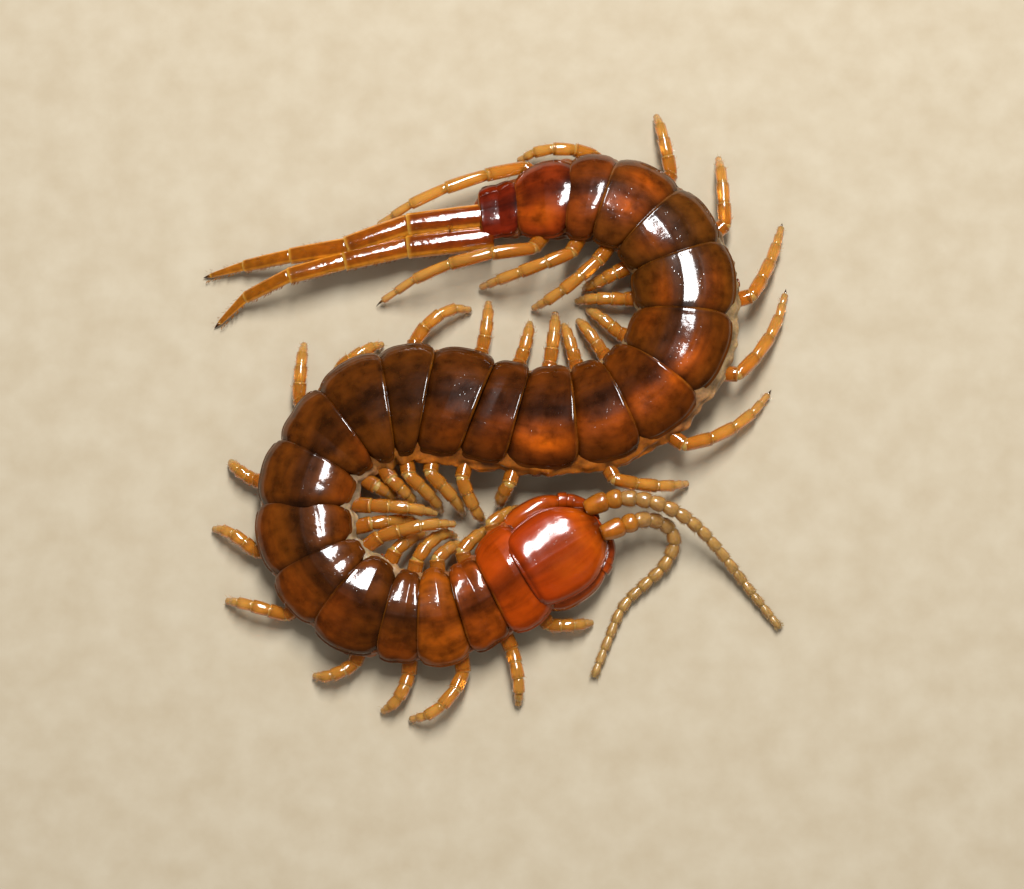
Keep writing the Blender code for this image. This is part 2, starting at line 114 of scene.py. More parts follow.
# %% Places on the body
def smooth(x, knots):
    """The value at x of a smooth curve through knots, which are pairs of x and value."""
    xs, ys = np.array(knots, float).T
    slopes = np.gradient(ys, xs)
    x = np.clip(x, xs[0], xs[-1])
    k = np.clip(np.searchsorted(xs, x, side="right") - 1, 0, len(xs) - 2)
    gap = xs[k + 1] - xs[k]
    t = (x - xs[k]) / gap
    start = ys[k] * (2 * t**3 - 3 * t**2 + 1) + slopes[k] * gap * (t**3 - 2 * t**2 + t)
    return start + ys[k + 1] * (3 * t**2 - 2 * t**3) + slopes[k + 1] * gap * (t**3 - t**2)


def straight(x, knots):
    """The value at x on straight lines through knots."""
    return np.interp(x, *zip(*knots))


def roll_at(s):
    """How far the body is rolled at s, in radians: positive lifts its left side."""
    start, end = np.interp(ROLL_TURNS, NUMBERS, MIDDLES)
    share = np.clip((s - start) / (end - start), 0, 1)
    return np.radians(ROLL_FRONT + (ROLL_BACK - ROLL_FRONT) * share * share * (3 - 2 * share))


def body_point(s, out, height, rolled=ROLL_SHARE):
    """Points at arc length s, out to the left of the middle and height above the belly."""
    s, out, height = np.broadcast_arrays(*(np.asarray(x, float) for x in (s, out, height)))
    h = np.interp(s, ARC, ARC_HEADING) + np.radians(np.interp(s, MIDDLES, SKEWS))
    roll = roll_at(s) * rolled
    lift = height - ROLL_AXIS
    side = out * np.cos(roll) - lift * np.sin(roll)
    rise = out * np.sin(roll) + lift * np.cos(roll)
    x = np.interp(s, ARC, LINE_X) + np.sin(h) * side
    y = np.interp(s, ARC, LINE_Y) - np.cos(h) * side
    return np.stack([x, y, BELLY + ROLL_AXIS + rise], axis=-1)


def number_at(s):
    """The number of the tergite at s, with a fraction between two tergites' middles."""
    return np.interp(s, MIDDLES, NUMBERS)


def half_width(s):
    """Half the body's width at s."""
    return np.interp(s, MIDDLES, WIDTHS) / 2


def body_height(s):
    """The height of the back over the belly at s."""
    return 2 * half_width(s) * HEIGHT_SHARE


def bell(x, middle, wide):
    """1 at the middle, falling smoothly to 0 on either side."""
    return np.exp(-(((x - middle) / wide) ** 2))


print("middle of the back of tergite 12:", body_point(MIDDLES[11], 0, body_height(MIDDLES[11])))

# %% [markdown]
# ## One way to make a mesh
#
# A piece is a list of shapes: points in millimetres, faces, and marks. A mark is a number at
# each point, such as how far along its plate the point is, and a material can read it, so a
# pale rim stays on the rim however the plate is bent. UV maps or vertex groups could carry the
# same, but a named attribute says what it is, and costs one line.
#
# There are two kinds of shape. A plate is a grid of points with a thickness. A tube is a row of
# rings with a fan over each end, mostly round rings along a line.

# %% Closed shapes
CIRCLE = 2 * math.pi
TINY = 1e-9  # keeps a vertical line from dividing by nothing


def unit(vectors):
    """The vectors, each made one unit long."""
    return vectors / np.linalg.norm(vectors, axis=-1, keepdims=True)


def beside(ahead):
    """The ways sideways and upwards from ways ahead, all one unit long."""
    side = np.cross(ahead, (0.0, 0.0, 1.0))
    side = side / (np.linalg.norm(side, axis=-1, keepdims=True) + TINY)
    return side, np.cross(side, ahead)


def outward(points, faces):
    """The faces, turned round where the closed shape's volume comes out negative."""
    corners = [(f[0], b, c) for f in faces for b, c in zip(f[1:-1], f[2:])]
    a, b, c = (points[list(column)] for column in zip(*corners))
    volume = np.sum(a * np.cross(b, c))
    return faces if volume > 0 else [tuple(reversed(face)) for face in faces]


def wrap_faces(rows, columns, closed):
    """Quads over a grid of points whose columns close on themselves or not."""
    faces = []
    for i in range(rows - 1):
        for j in range(columns if closed else columns - 1):
            a, b = i * columns + j, i * columns + (j + 1) % columns
            faces.append((a, a + columns, b + columns, b))
    return faces


def thick_sheet(grid, thickness, marks):
    """A closed shell from a grid of outer points and the sheet's thickness inwards."""
    rows, columns, _ = grid.shape
    normal = unit(np.cross(np.gradient(grid, axis=0), np.gradient(grid, axis=1)))
    if np.sum(normal * (grid - grid.mean((0, 1)))) < 0:
        normal = -normal
    points = np.concatenate([grid.reshape(-1, 3), (grid - normal * thickness).reshape(-1, 3)])
    under = rows * columns
    top = wrap_faces(rows, columns, False)
    faces = top + [tuple(under + i for i in reversed(face)) for face in top]
    at = np.arange(under).reshape(rows, columns)
    edge = [*at[:, 0].tolist(), *at[-1, 1:].tolist(), *at[-2::-1, -1].tolist(), *at[0, -2:0:-1].tolist()]
    for a, b in zip(edge, edge[1:] + edge[:1]):
        faces.append((b, a, a + under, b + under))
    doubled = {}
    for key, values in marks.items():
        doubled[key] = np.tile(np.broadcast_to(np.asarray(values, float), (rows, columns)).ravel(), 2)
    return points, outward(points, faces), doubled


def capped(rings, marks, **at_ends):
    """A closed tube from rings of points, with a fan over each end. A mark at a fan's middle is
    its ring's mean, or else the value in at_ends."""
    rows, columns, _ = rings.shape
    points = np.concatenate([rings.reshape(-1, 3), [rings[0].mean(0), rings[-1].mean(0)]])
    faces = wrap_faces(rows, columns, True)
    middle, last = rows * columns, (rows - 1) * columns
    for j in range(columns):
        after = (j + 1) % columns
        faces += [(middle, j, after), (middle + 1, last + after, last + j)]
    spread = {}
    for key, values in marks.items():
        values = np.broadcast_to(np.asarray(values, float), (rows, columns))
        ends = at_ends.get(key, values[[0, -1]].mean(1))
        spread[key] = np.append(values, np.broadcast_to(ends, 2))
    return points, outward(points, faces), spread


def sweep(centres, radii, sides, flat=1.0, marks=None):
    """A closed tube of round rings through centres, flat times as high as it is wide."""
    centres = np.asarray(centres, float)
    angles = np.linspace(0, CIRCLE, sides, endpoint=False)
    cos, sin = np.cos(angles)[:, None], np.sin(angles)[:, None]
    side, up = beside(unit(np.gradient(centres, axis=0)))
    ways = cos * side[:, None] + sin * up[:, None] * flat
    rings = centres[:, None] + ways * np.reshape(radii, (-1, 1, 1))
    spread = {"upper": np.sin(angles)}
    for key, values in (marks or {}).items():
        spread[key] = np.broadcast_to(values, len(centres))[:, None]
    return capped(rings, spread, upper=0.5)


print("a tube of 3 rings of 4 points has", len(sweep(np.eye(3), 1.0, 4)[1]), "faces")


# %% From shapes to objects
WAVES, WAVES_HIGH = 7, 2.6  # waves added up for an uneven surface, and about their sum's height


def to_metres(points):
    """Points in metres from the model's origin, none of them under the floor."""
    shifted = (np.asarray(points) - (*ORIGIN, 0.0)) * MM
    shifted[:, 2] = np.maximum(shifted[:, 2], 0.0)
    return shifted


def piece(name, shapes, material, nodes=()):
    """One object from closed shapes, riding on the body and standing for the named solids."""
    points, faces, marks, start = [], [], [], 0
    names = sorted({key for shape in shapes for key in shape[2]})
    for shape_points, shape_faces, shape_marks in shapes:
        points.append(shape_points)
        faces += [tuple(start + i for i in face) for face in shape_faces]
        nothing = np.zeros(len(shape_points))
        marks.append([shape_marks.get(key, nothing) for key in names])
        start += len(shape_points)
    mesh = bpy.data.meshes.new(name)
    mesh.from_pydata(to_metres(np.concatenate(points)), [], faces)
    for key, column in zip(names, zip(*marks)):
        mesh.attributes.new(key, "FLOAT", "POINT").data.foreach_set("value", np.concatenate(column))
    mesh.shade_smooth()
    mesh.materials.append(material)
    made = bpy.data.objects.new(name, mesh)
    bpy.context.scene.collection.objects.link(made)
    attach(made, "root")
    if nodes:
        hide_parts(*nodes)
    return made


def uneven(points, *waves):
    """Smooth random heights at the points, from waves of a height, a length and a seed."""
    total = np.zeros(points.shape[:-1])
    for high, long, seed in waves:
        draw = np.random.RandomState(seed)
        for _ in range(WAVES):
            way = draw.normal(size=3)
            way *= CIRCLE / (long * draw.uniform(0.7, 1.5)) / np.linalg.norm(way)
            total += high / WAVES_HIGH * np.cos(points @ way + draw.uniform(0, CIRCLE))
    return total


print("mesh helpers ready")

# %% [markdown]
# ## Materials: hardened and soft cuticle
#
# A centipede's whole surface is cuticle: chitin and protein, laid down soft and pale, then
# tanned hard and brown where a plate is needed. The plates are smooth, waxy and a little
# translucent, so the eye sees three things: a sharp wet-looking highlight, a body colour that
# deepens towards amber where the cuticle is thick, and a glow at thin edges. A Principled
# shader gives all three, with its coat for the wax, its base for the pigment, and a little
# subsurface for the glow. The membrane between the plates is the same stuff left untanned, so
# it is greyer, duller and wrinkled.
#
# Every cuticle is coloured the same way, by layers laid over a pigment one after the other.


# %% Colours and nodes
def linear(hexed):
    """An sRGB colour in hex, such as 'a0522d', as the linear values that a shader wants."""
    parts = [int(hexed[i : i + 2], 16) / 255 for i in (0, 2, 4)]
    return (*(p / 12.92 if p <= 0.04045 else ((p + 0.055) / 1.055) ** 2.4 for p in parts), 1.0)


def add(tree, kind, inputs, out=0, stops=(), **settings):
    """Adds a node with its settings, sets or links its inputs, and returns one of its outputs."""
    made = tree.nodes.new("ShaderNode" + kind)
    for key, value in settings.items():
        setattr(made, key, value)
    for key, value in inputs.items():
        if isinstance(value, bpy.types.NodeSocket):
            tree.links.new(value, made.inputs[key])
        else:
            made.inputs[key].default_value = value
    ramp = made.color_ramp.elements if stops else ()
    while len(ramp) < len(stops):
        ramp.new(0.5)
    for stop, (position, colour) in zip(ramp, stops):
        stop.position = position
        stop.color = linear(colour)
    return made.outputs[out]


def per_metre(millimetres):
    """The scale of a pattern whose features are that many millimetres across."""
    return 1.0 / (millimetres * MM)


def sources(tree, marks, *noises):
    """The place, the values of marks, and noises of a size in millimetres and a detail."""
    found = [add(tree, "TexCoord", {}, "Object")]
    found += [add(tree, "Attribute", {}, "Fac", attribute_name=mark) for mark in marks]
    for size, detail in noises:
        inputs = {"Vector": found[0], "Scale": per_metre(size), "Detail": detail}
        found.append(add(tree, "TexNoise", inputs))
    return found


CHITIN_IOR = 1.56
WAX_IOR = 1.45
WAX_HAZE = 0.08
GLOW_COLOUR = (1.0, 0.32, 0.08)  # how far red, green and blue light go in cuticle, to each other
GLOW_DEPTH = 0.45  # how far that is for red


def cuticle(name, roughness, wax, glow, **more):
    """A new material with a Principled shader set up as waxed cuticle, and its tree."""
    made = bpy.data.materials.new(name)
    made.use_nodes = True
    shader = made.node_tree.nodes["Principled BSDF"]
    settings = {
        "IOR": CHITIN_IOR, "Roughness": roughness, "Coat Weight": wax, "Coat Roughness": WAX_HAZE,
        "Coat IOR": WAX_IOR, "Subsurface Weight": glow, "Subsurface Radius": GLOW_COLOUR,
        "Subsurface Scale": GLOW_DEPTH * MM,
    }
    settings.update((key.replace("_", " "), value) for key, value in more.items())
    for key, value in settings.items():
        shader.inputs[key].default_value = value
    return made, made.node_tree, shader


def dress(tree, shader, colour, layers, relief, normals=("Normal", "Coat Normal")):
    """Lays layers of share, colour and blend over a colour, and puts it and a relief on."""
    for share, layer, blend in layers:
        inputs = {0: share, 6: colour, 7: layer}
        colour = add(tree, "Mix", inputs, 2, data_type="RGBA", blend_type=blend)
    tree.links.new(colour, shader.inputs["Base Color"])
    for normal in normals:
        tree.links.new(relief, shader.inputs[normal])


print("a segment's amber in linear light:", [round(v, 3) for v in linear("a8560f")[:3]])

# %% [markdown]
# ## Finish: tanned tergite cuticle
#
# The back plates are tanned cuticle over dark gut and pale fat, so one plate shows several
# browns: dark along the middle where the gut runs, orange where the cuticle lets light through,
# a dark line inside the side margins and a pale glowing rim at the rear, where only a thin
# doubled edge is left. The marks along, across, number and glow carry these places. Noise
# breaks them up, in patches of 0.9 mm and a mottling of 0.6 mm, so that they don't look ruled.

# %% Tergite cuticle
PATCHES = 0.9
MOTTLE = 0.6
GRAIN = 0.12  # the outlines of the cells, in truth 0.02 mm, drawn as coarse as it needs to show
GRAIN_DEEP = 0.0036
PORE_SPACING = 0.17
PORES_DEEP = 0.004
# Where along the body the rear rims are clear.
CLEAR_RIMS = (
    (0.0, "c0c0c0"), (0.20, "8c8c8c"), (0.25, "1c1c1c"), (0.40, "1c1c1c"), (0.45, "a0a0a0"),
    (0.72, "a0a0a0"), (0.80, "707070"), (0.92, "e0e0e0"),
)


def tanned(name, segments, flange, rim, rim_strength, mottling=0.8, middle="929292", haze=WAX_HAZE):
    """Tanned cuticle: pigment by segment, glowing patches, clear flanges and a pale rear rim."""
    wax = {"Specular_IOR_Level": 0.05, "Coat_Roughness": haze}
    made, tree, shader = cuticle(name, 0.28, 1.0, 0.04, **wax)
    place, along, across, number, glow, patch, mottle, grain = sources(
        tree, ("along", "across", "number", "glow"), (PATCHES, 6.0), (MOTTLE, 6.0), (GRAIN, 3.0)
    )
    share = add(tree, "Math", {0: number, 1: SEGMENTS}, operation="DIVIDE")
    aside = add(tree, "Math", {0: across}, operation="ABSOLUTE")
    pigment = add(tree, "ValToRGB", {0: share}, stops=segments)
    # Dark over the gut, and paler on both sides of it.
    stops = ((0.0, middle), (0.16, "b8b8b8"), (0.32, "f0f0f0"), (0.75, "ffffff"), (0.90, "cccccc"))
    bands = add(tree, "ValToRGB", {0: aside}, stops=stops)
    # Painted light that comes through in places, the stronger the yellower.
    patchy = add(tree, "MapRange", {0: patch, 1: 0.32, 2: 0.60, 3: 0.6, 4: 1.05})
    lit = add(tree, "Math", {0: glow, 1: patchy}, operation="MULTIPLY")
    strong = add(tree, "MapRange", {0: lit, 2: 1.6})
    amber = add(tree, "ValToRGB", {0: strong}, stops=((0.12, "a04204"), (0.6, "c05604"), (0.95, "e8a020")))
    # Mottling, which the first segment has less of.
    stops = ((0.26, "747474"), (0.40, "b4b4b4"), (0.54, "e4e4e4"), (0.70, "ffffff"))
    tones = add(tree, "ValToRGB", {0: mottle}, stops=stops)
    marbled = add(tree, "MapRange", {0: number, 1: 1.0, 2: 2.0, 3: mottling * 0.4, 4: mottling})
    # Fine streaks along each plate.
    unrolled = add(tree, "CombineXYZ", {0: along, 1: across, 2: number})
    stretched = add(tree, "Mapping", {"Vector": unrolled, "Scale": (1.0, 5.0, 3.7)})
    streaks = add(tree, "TexNoise", {"Vector": stretched, "Scale": 1.0, "Detail": 3.0})
    stops = ((0.30, "8c8c8c"), (0.46, "dcdcdc"), (0.58, "ffffff"))
    threads = add(tree, "ValToRGB", {0: streaks}, stops=stops)
    # The flanges at the side margins, and the shade under the plate before.
    stops = ((0.86, "000000"), (0.93, "343434"), (0.975, "505050"), (1.0, "808080"))
    flanges = add(tree, "ValToRGB", {0: aside}, stops=stops)
    stops = ((0.0, "606060"), (0.09, "8a8a8a"), (0.20, "ffffff"), (0.90, "ffffff"), (0.965, "c8c8c8"))
    shades = add(tree, "ValToRGB", {0: along}, stops=stops)
    # The pale rim at the rear, broken up, and clearer on some plates than on others.
    rims = add(tree, "ValToRGB", {0: along}, stops=((0.0, "000000"), (0.95, "000000"), (0.985, "e0e0e0")))
    broken = add(tree, "MapRange", {0: patch, 1: 0.38, 2: 0.62, 3: 0.05, 4: rim_strength})
    by_plate = add(tree, "ValToRGB", {0: share}, stops=CLEAR_RIMS)
    for factor in (by_plate, broken):
        rims = add(tree, "Math", {0: rims, 1: factor}, operation="MULTIPLY")
    fine = add(tree, "Bump", {"Height": grain, "Strength": 0.5, "Distance": GRAIN_DEEP * MM})
    cells = add(tree, "TexVoronoi", {"Vector": place, "Scale": per_metre(PORE_SPACING)})
    pores = add(tree, "MapRange", {0: cells, 1: 0.08, 2: 0.22})
    deep = {"Height": pores, "Strength": 0.6, "Distance": PORES_DEEP * MM, "Normal": fine}
    relief = add(tree, "Bump", deep)
    gloss = add(tree, "MapRange", {0: mottle, 1: 0.3, 2: 0.7, 3: 0.24, 4: 0.38})
    tree.links.new(gloss, shader.inputs["Roughness"])
    layers = (
        (0.9, bands, "MULTIPLY"),
        (lit, amber, "MIX"),
        (marbled, tones, "MULTIPLY"),
        (mottling * 0.7, threads, "MULTIPLY"),
        (flanges, linear(flange), "MIX"),
        (0.8, shades, "MULTIPLY"),
        (rims, linear(rim), "MIX"),
    )
    dress(tree, shader, pigment, layers, relief)
    return made


TERGITE_BROWNS = (
    (0.04, "a83c00"), (0.09, "8e3e04"), (0.13, "984a06"), (0.18, "5e2c04"), (0.30, "663204"),
    (0.36, "643004"), (0.48, "542802"), (0.57, "562602"), (0.70, "662e02"), (0.78, "5e3004"),
    (0.83, "5c3006"), (0.90, "663006"), (0.955, "7e2a04"), (1.0, "701c04"),
)
tergite_cuticle = tanned("tanned tergite cuticle", TERGITE_BROWNS, "8a4c10", "d07818", 0.8)
print(tergite_cuticle.name, "has", len(tergite_cuticle.node_tree.nodes), "nodes")

# %% [markdown]
# ## Tergites
#
# Each back plate is a shallow roof: its front lip slides under the plate before it, its sides
# bulge, its rear corners are rounded, and its rear edge lies over the next plate like a roof
# tile. It could be cut out of one long tube, but then there would be no edge to catch the
# light. So each plate is its own thick sheet, with a bead along the margins, two fine furrows
# beside the middle, and an uneven, slightly wavy surface.

# %% Tergite shapes
PLATE_THICK = 0.06
PLATE_ROWS, PLATE_COLUMNS = 40, 97
LAP = 0.16  # how far a plate's rear edge reaches over the next one
TUCK = 0.10  # how far its front lip reaches under the one before
CORNER = 0.38  # how far the rear corners are rounded off
# Across half a plate: share of the way from crown to margin, share of the half width.
ROOF_OUT = ((0, 0), (0.3, 0.335), (0.58, 0.65), (0.80, 0.875), (0.93, 0.975), (1.0, 1.0))
ROOF_HEIGHT = ((0, 1.0), (0.3, 0.968), (0.58, 0.876), (0.80, 0.745), (0.93, 0.635), (1.0, 0.55))
ROOF_SPREAD = 0.43 * math.pi  # how closely the columns stand at the margins
HUB = 0.45  # height of the point that a dip goes towards, as a share of the body's
# Along a plate: share of its length, how far its sides draw in, and how far it dips.
DRAW_IN = ((-0.10, 0.40), (0.02, 0.29), (0.16, 0.12), (0.50, 0.0), (0.86, 0.03), (1.0, 0.15), (1.12, 0.28))
DIP = ((-0.10, 0.14), (0.02, 0.08), (0.16, 0.03), (0.50, 0.0), (0.86, 0.0), (1.0, 0.01), (1.12, 0.04))
# How far each plate leans tailwards, in degrees; most lean headwards, their rear edge raised.
LEAN = (
    (1, -1.0), (2, -10.0), (3, -7.0), (4, 3.0), (5, -5.0), (6, -2.0), (7, 3.0), (8, 3.0), (9, -4.0),
    (10, -6.0), (11, -10.0), (12, -11.0), (13, -12.0), (16, -12.0), (17, -4.5), (18, 3.5),
    (19, -3.5), (20, -9.0), (21, 4.0), (22, 2.0), (23, 3.0),
)
# Raised and sunk lines: how high, how far from the crown or from the front, and how wide.
MARGIN_LINES = ((0.045, 0.985, 0.020), (-0.020, 0.945, 0.018))
REAR_LINES = ((0.016, 0.955, 0.03),)
FURROW = (0.006, 0.34, 0.016)  # the two furrows' depth, how far out they run, and their width
FURROW_MIDDLE, FURROW_LONG = 0.55, 0.36
WAVY, DIMPLED = (0.006, 1.6), (0.0009, 0.30)  # a height and a length of each kind of unevenness
LIP, LIP_DOWN = 0.03, 0.05  # the share of a plate that turns down at the rear, and how far
# Where light is painted as coming through a plate: tergite, share of its length, how far out to
# the left, half length and half width of the patch, and its strength.
PAINTED_GLOWS = (
    (1, 0.6, -0.45, 0.6, 0.5, 0.12), (3, 0.5, -0.3, 0.5, 0.6, 0.30), (4, 0.5, -0.7, 0.5, 0.3, 0.25),
    (5, 0.9, -0.4, 0.4, 0.5, 0.30), (6, 0.5, -0.6, 0.5, 0.35, 0.30), (7, 0.5, -0.75, 0.5, 0.25, 0.22),
    (7, 0.5, 0.80, 0.6, 0.2, 0.25), (8, 0.5, 0.78, 0.6, 0.22, 0.32), (9, 0.9, 0.7, 0.3, 0.4, 0.30),
    (12, 0.7, 0.5, 0.4, 0.3, 0.20), (13, 0.8, 0.4, 0.4, 0.3, 0.32), (14, 0.50, 0.50, 0.44, 0.24, 1.0),
    (15, 0.15, 0.38, 0.3, 0.22, 0.7), (15, 0.8, 0.42, 0.3, 0.26, 0.5), (16, 0.4, 0.31, 0.38, 0.21, 0.95),
    (16, 0.97, 0.31, 0.13, 0.26, 0.95), (17, 0.3, 0.34, 0.36, 0.26, 0.85), (17, 0.75, -0.55, 0.3, 0.2, 0.3),
    (18, 0.3, 0.5, 0.4, 0.2, 0.45), (18, 0.35, -0.35, 0.4, 0.2, 0.45), (19, 0.5, -0.3, 0.4, 0.3, 0.35),
    (20, 0.45, 0.45, 0.32, 0.2, 0.65), (20, 0.5, -0.2, 0.36, 0.26, 0.9), (21, 0.55, -0.3, 0.4, 0.3, 0.4),
    (22, 0.55, -0.45, 0.4, 0.32, 0.7), (22, 0.95, 0.0, 0.10, 0.8, 0.6),
)


def to_ends(count, turn):
    """Places from -1 to 1 that stand closer together towards both ends."""
    return np.sin(np.linspace(-1, 1, count) * turn) / math.sin(turn)


def lines(x, table):
    """The height at x of raised and sunk lines."""
    return sum(high * bell(x, at, wide) for high, at, wide in table)


def roof_points(s, across, share, lift=0.0):
    """Points of the back: across runs from -1 at the right margin to 1 at the left."""
    aside, tall = np.abs(across), body_height(s)
    out = smooth(aside, ROOF_OUT) * (half_width(s) - smooth(share, DRAW_IN))
    over_hub = (smooth(aside, ROOF_HEIGHT) - HUB) * tall
    sink = 1 - (smooth(share, DIP) - lift) / np.hypot(out, over_hub)
    return body_point(s, np.sign(across) * out * sink, HUB * tall + over_hub * sink)


def tergite(number):
    """The thick plate on the back of one segment."""
    border, length = BORDERS[number - 1], LENGTHS[number - 1]
    u = np.linspace(0, 1, PLATE_ROWS)
    u = u + 0.05 * np.sin(CIRCLE * u)
    u, across = np.meshgrid(u, to_ends(PLATE_COLUMNS, ROOF_SPREAD), indexing="ij")
    aside = np.abs(across)
    rounded = CORNER * (1 - (1 - np.minimum(aside, 1) ** 7) ** (1 / 3))
    start = border - TUCK
    end = border + length + (LAP if number < SEGMENTS else 0.0) - rounded
    s = start + u * (end - start)
    share = (s - border) / length
    lean = math.radians(float(straight(number, LEAN)))
    lift = lines(aside, MARGIN_LINES) + lines(u, REAR_LINES)
    lift += math.tan(lean) * (0.5 - u) * length * (1 - aside**2)
    if 1 < number < SEGMENTS - 1:
        lift -= lines(aside, (FURROW,)) * bell(u, FURROW_MIDDLE, FURROW_LONG)
    level = roof_points(s, across, share)
    lift += uneven(level, (*WAVY, number), (*DIMPLED, number + 50))
    lift -= LIP_DOWN * (np.maximum(u - 1 + LIP, 0) / LIP) ** 2
    glow = 0.0
    for _, at, out, long, wide, strength in (row for row in PAINTED_GLOWS if row[0] == number):
        glow = glow + strength * bell(u, at, long) * bell(across, out, wide)
    marks = {"along": u, "across": across, "number": number, "glow": glow}
    return thick_sheet(roof_points(s, across, share, lift), PLATE_THICK, marks)


for number in range(1, SEGMENTS + 1):
    piece(f"tergite_{number:02d}", [tergite(number)], tergite_cuticle)
print("tergites:", SEGMENTS)

# %% [markdown]
# ## The soft body between the plates
#
# Under and between the plates runs one soft tube of folded membrane, from the neck to the last
# segment. It is one mesh, so that it shows no seam, and it stands for all the lengths of the
# trunk. Its sides swell a little in each segment, most of all on the inside of a bend, where
# the membrane is pushed up into folds. A simulation of cloth under pressure could make such
# folds, but on so small a part their places are plain: across the borders and along the flank.

# %% Skin
# Round half the skin, from crown to belly: share of the half width, and of the height.
SKIN_OUT = (
    (0.0, 0.0), (0.12, 0.30), (0.25, 0.60), (0.36, 0.82), (0.45, 0.925), (0.53, 0.95),
    (0.62, 0.95), (0.72, 0.87), (0.82, 0.70), (0.90, 0.46), (1.0, 0.0),
)
SKIN_HEIGHT = (
    (0.0, 0.84), (0.12, 0.825), (0.25, 0.76), (0.36, 0.655), (0.45, 0.555), (0.53, 0.45),
    (0.62, 0.33), (0.72, 0.18), (0.82, 0.07), (0.90, 0.03), (1.0, 0.03),
)
SKIN_START, SKIN_PAST, SKIN_STEP = 0.15, 0.30, 0.09
SKIN_COLUMNS = 120
FLANK_TURN, FLANK_TALL = 0.56, 0.13  # where the soft flank is between crown and belly
# The soft left flank swells past the plates on the inside of the first bends.
FLANK = ((4, 0.0), (6, 0.13), (17, 0.13), (19, 0.0))
BULGE = 0.05  # how far the membrane bulges between two plates' margins, the same way
OUTER_BULGE = ((14, 0.0), (16, 0.05), (18, 0.05), (20, 0.0))  # and on the right
WAIST = 0.16  # how far the skin is drawn in at a border
FOLD = 0.05


def flank_swell(s, side):
    """How far the soft flank stands past the plates, as a share of the half width."""
    return np.where(side > 0, straight(number_at(s), FLANK), 0.0)


# Turn runs from -1 at the belly by 0 at the crown back to 1.
skin_s = np.arange(SKIN_START, BODY_LENGTH + SKIN_PAST, SKIN_STEP)
skin_turn = np.linspace(-1, 1, SKIN_COLUMNS, endpoint=False)
S, TURN = np.meshgrid(skin_s, skin_turn, indexing="ij")
aside = np.abs(TURN)
k = np.clip(np.searchsorted(BORDERS, S) - 1, 0, SEGMENTS - 1)
share = np.clip((S - BORDERS[k]) / LENGTHS[k], 0, 1)
flank = bell(aside, FLANK_TURN, FLANK_TALL)
bulge = np.where(TURN > 0, BULGE, straight(number_at(S), OUTER_BULGE))
out = (smooth(aside, SKIN_OUT) + flank * (flank_swell(S, TURN) + bulge)) * half_width(S)
out = (out - WAIST * (1 - np.sin(math.pi * share) ** 0.6) * (0.3 + flank)) * np.sign(TURN)
height = smooth(aside, SKIN_HEIGHT) * body_height(S)
unfolded = body_point(S, out, height)
folds = flank * uneven(unfolded, (FOLD, 0.9, 5), (0.034, 0.4, 6))
folds += 0.030 * flank * np.sin(TURN * 60 + uneven(unfolded, (2.4, 1.6, 7)))
taper = np.clip((BODY_LENGTH + SKIN_PAST - S) / 0.6, 0.15, 1) ** 0.5
over_axis = (height + folds * 0.3 - ROLL_AXIS) * taper
rings = body_point(S, (out + np.sign(out) * folds) * taper, ROLL_AXIS + over_axis)
marks = {"left": TURN > 0, "fold": folds / FOLD, "number": number_at(S)}
skin_shape = capped(rings, marks, left=0.0, fold=0.0)
print("skin:", len(skin_shape[0]), "points")

# %% [markdown]
# ## Finish: arthrodial membrane
#
# Membrane is cuticle that was never tanned: pale, leathery and dull, greyish brown where dark
# tissue shows through. Its folds collect shade and their crests catch a little light, so the
# colour follows the fold mark, and a fine crease texture of 0.12 mm breaks up the gloss.

# %% Membrane
CREASE, CREASE_DEEP = 0.12, 0.02
LEFT_GREYS = (
    (0.0, "904010"), (0.14, "80542c"), (0.25, "98805c"), (0.37, "94785a"), (0.42, "8c5418"),
    (0.50, "8e4c08"), (0.69, "8e4c08"), (0.735, "8e7450"), (0.78, "7c6240"), (0.83, "5e4026"),
    (1.0, "7a3a16"),
)
RIGHT_GREYS = (
    (0.0, "6e3006"), (0.42, "643408"), (0.58, "7c4c14"), (0.70, "8e7450"), (0.78, "7c6240"),
    (0.86, "603008"),
)

membrane, tree, shader = cuticle("arthrodial membrane", 0.30, 0.8, 0.3)
_, fold, number, on_left, crease = sources(tree, ("fold", "number", "left"), (CREASE, 5.0))
share_of_body = add(tree, "Math", {0: number, 1: SEGMENTS}, operation="DIVIDE")
left, right = (
    add(tree, "ValToRGB", {0: share_of_body}, stops=greys) for greys in (LEFT_GREYS, RIGHT_GREYS)
)
crests = add(tree, "MapRange", {0: fold, 1: -1.0, 2: 1.0, 3: 0.45, 4: 1.25})
blotch = add(tree, "MapRange", {0: crease, 1: 0.3, 2: 0.7, 3: 0.7, 4: 1.15})
relief = add(tree, "Bump", {"Height": crease, "Strength": 0.6, "Distance": CREASE_DEEP * MM})
layers = ((on_left, left, "MIX"), (1.0, crests, "MULTIPLY"), (1.0, blotch, "MULTIPLY"))
dress(tree, shader, right, layers, relief, ("Normal",))

trunk_nodes = sorted(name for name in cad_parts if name.startswith("trunk_"))
skin = piece("body_skin", [skin_shape], membrane, trunk_nodes)
print(skin.name, "stands for", trunk_nodes)

# %% [markdown]
# ## Sternites
#
# The belly has a plate to each segment too, flatter, paler and narrower than the back's, with a
# shallow cross of furrows. It can't be seen from the camera, but the model is looked at from
# all sides, and the legs need something to stand beside.

# %% Sternite shapes and finish
STERNITE_OUT = 0.56  # share of the half width
STERNITE_THICK = 0.05
STERNITE_CORNER = 0.22  # how far its corners are rounded off
STERNITE_ENDS = (0.12, 0.04)  # how far its front and rear lie behind the segment's borders


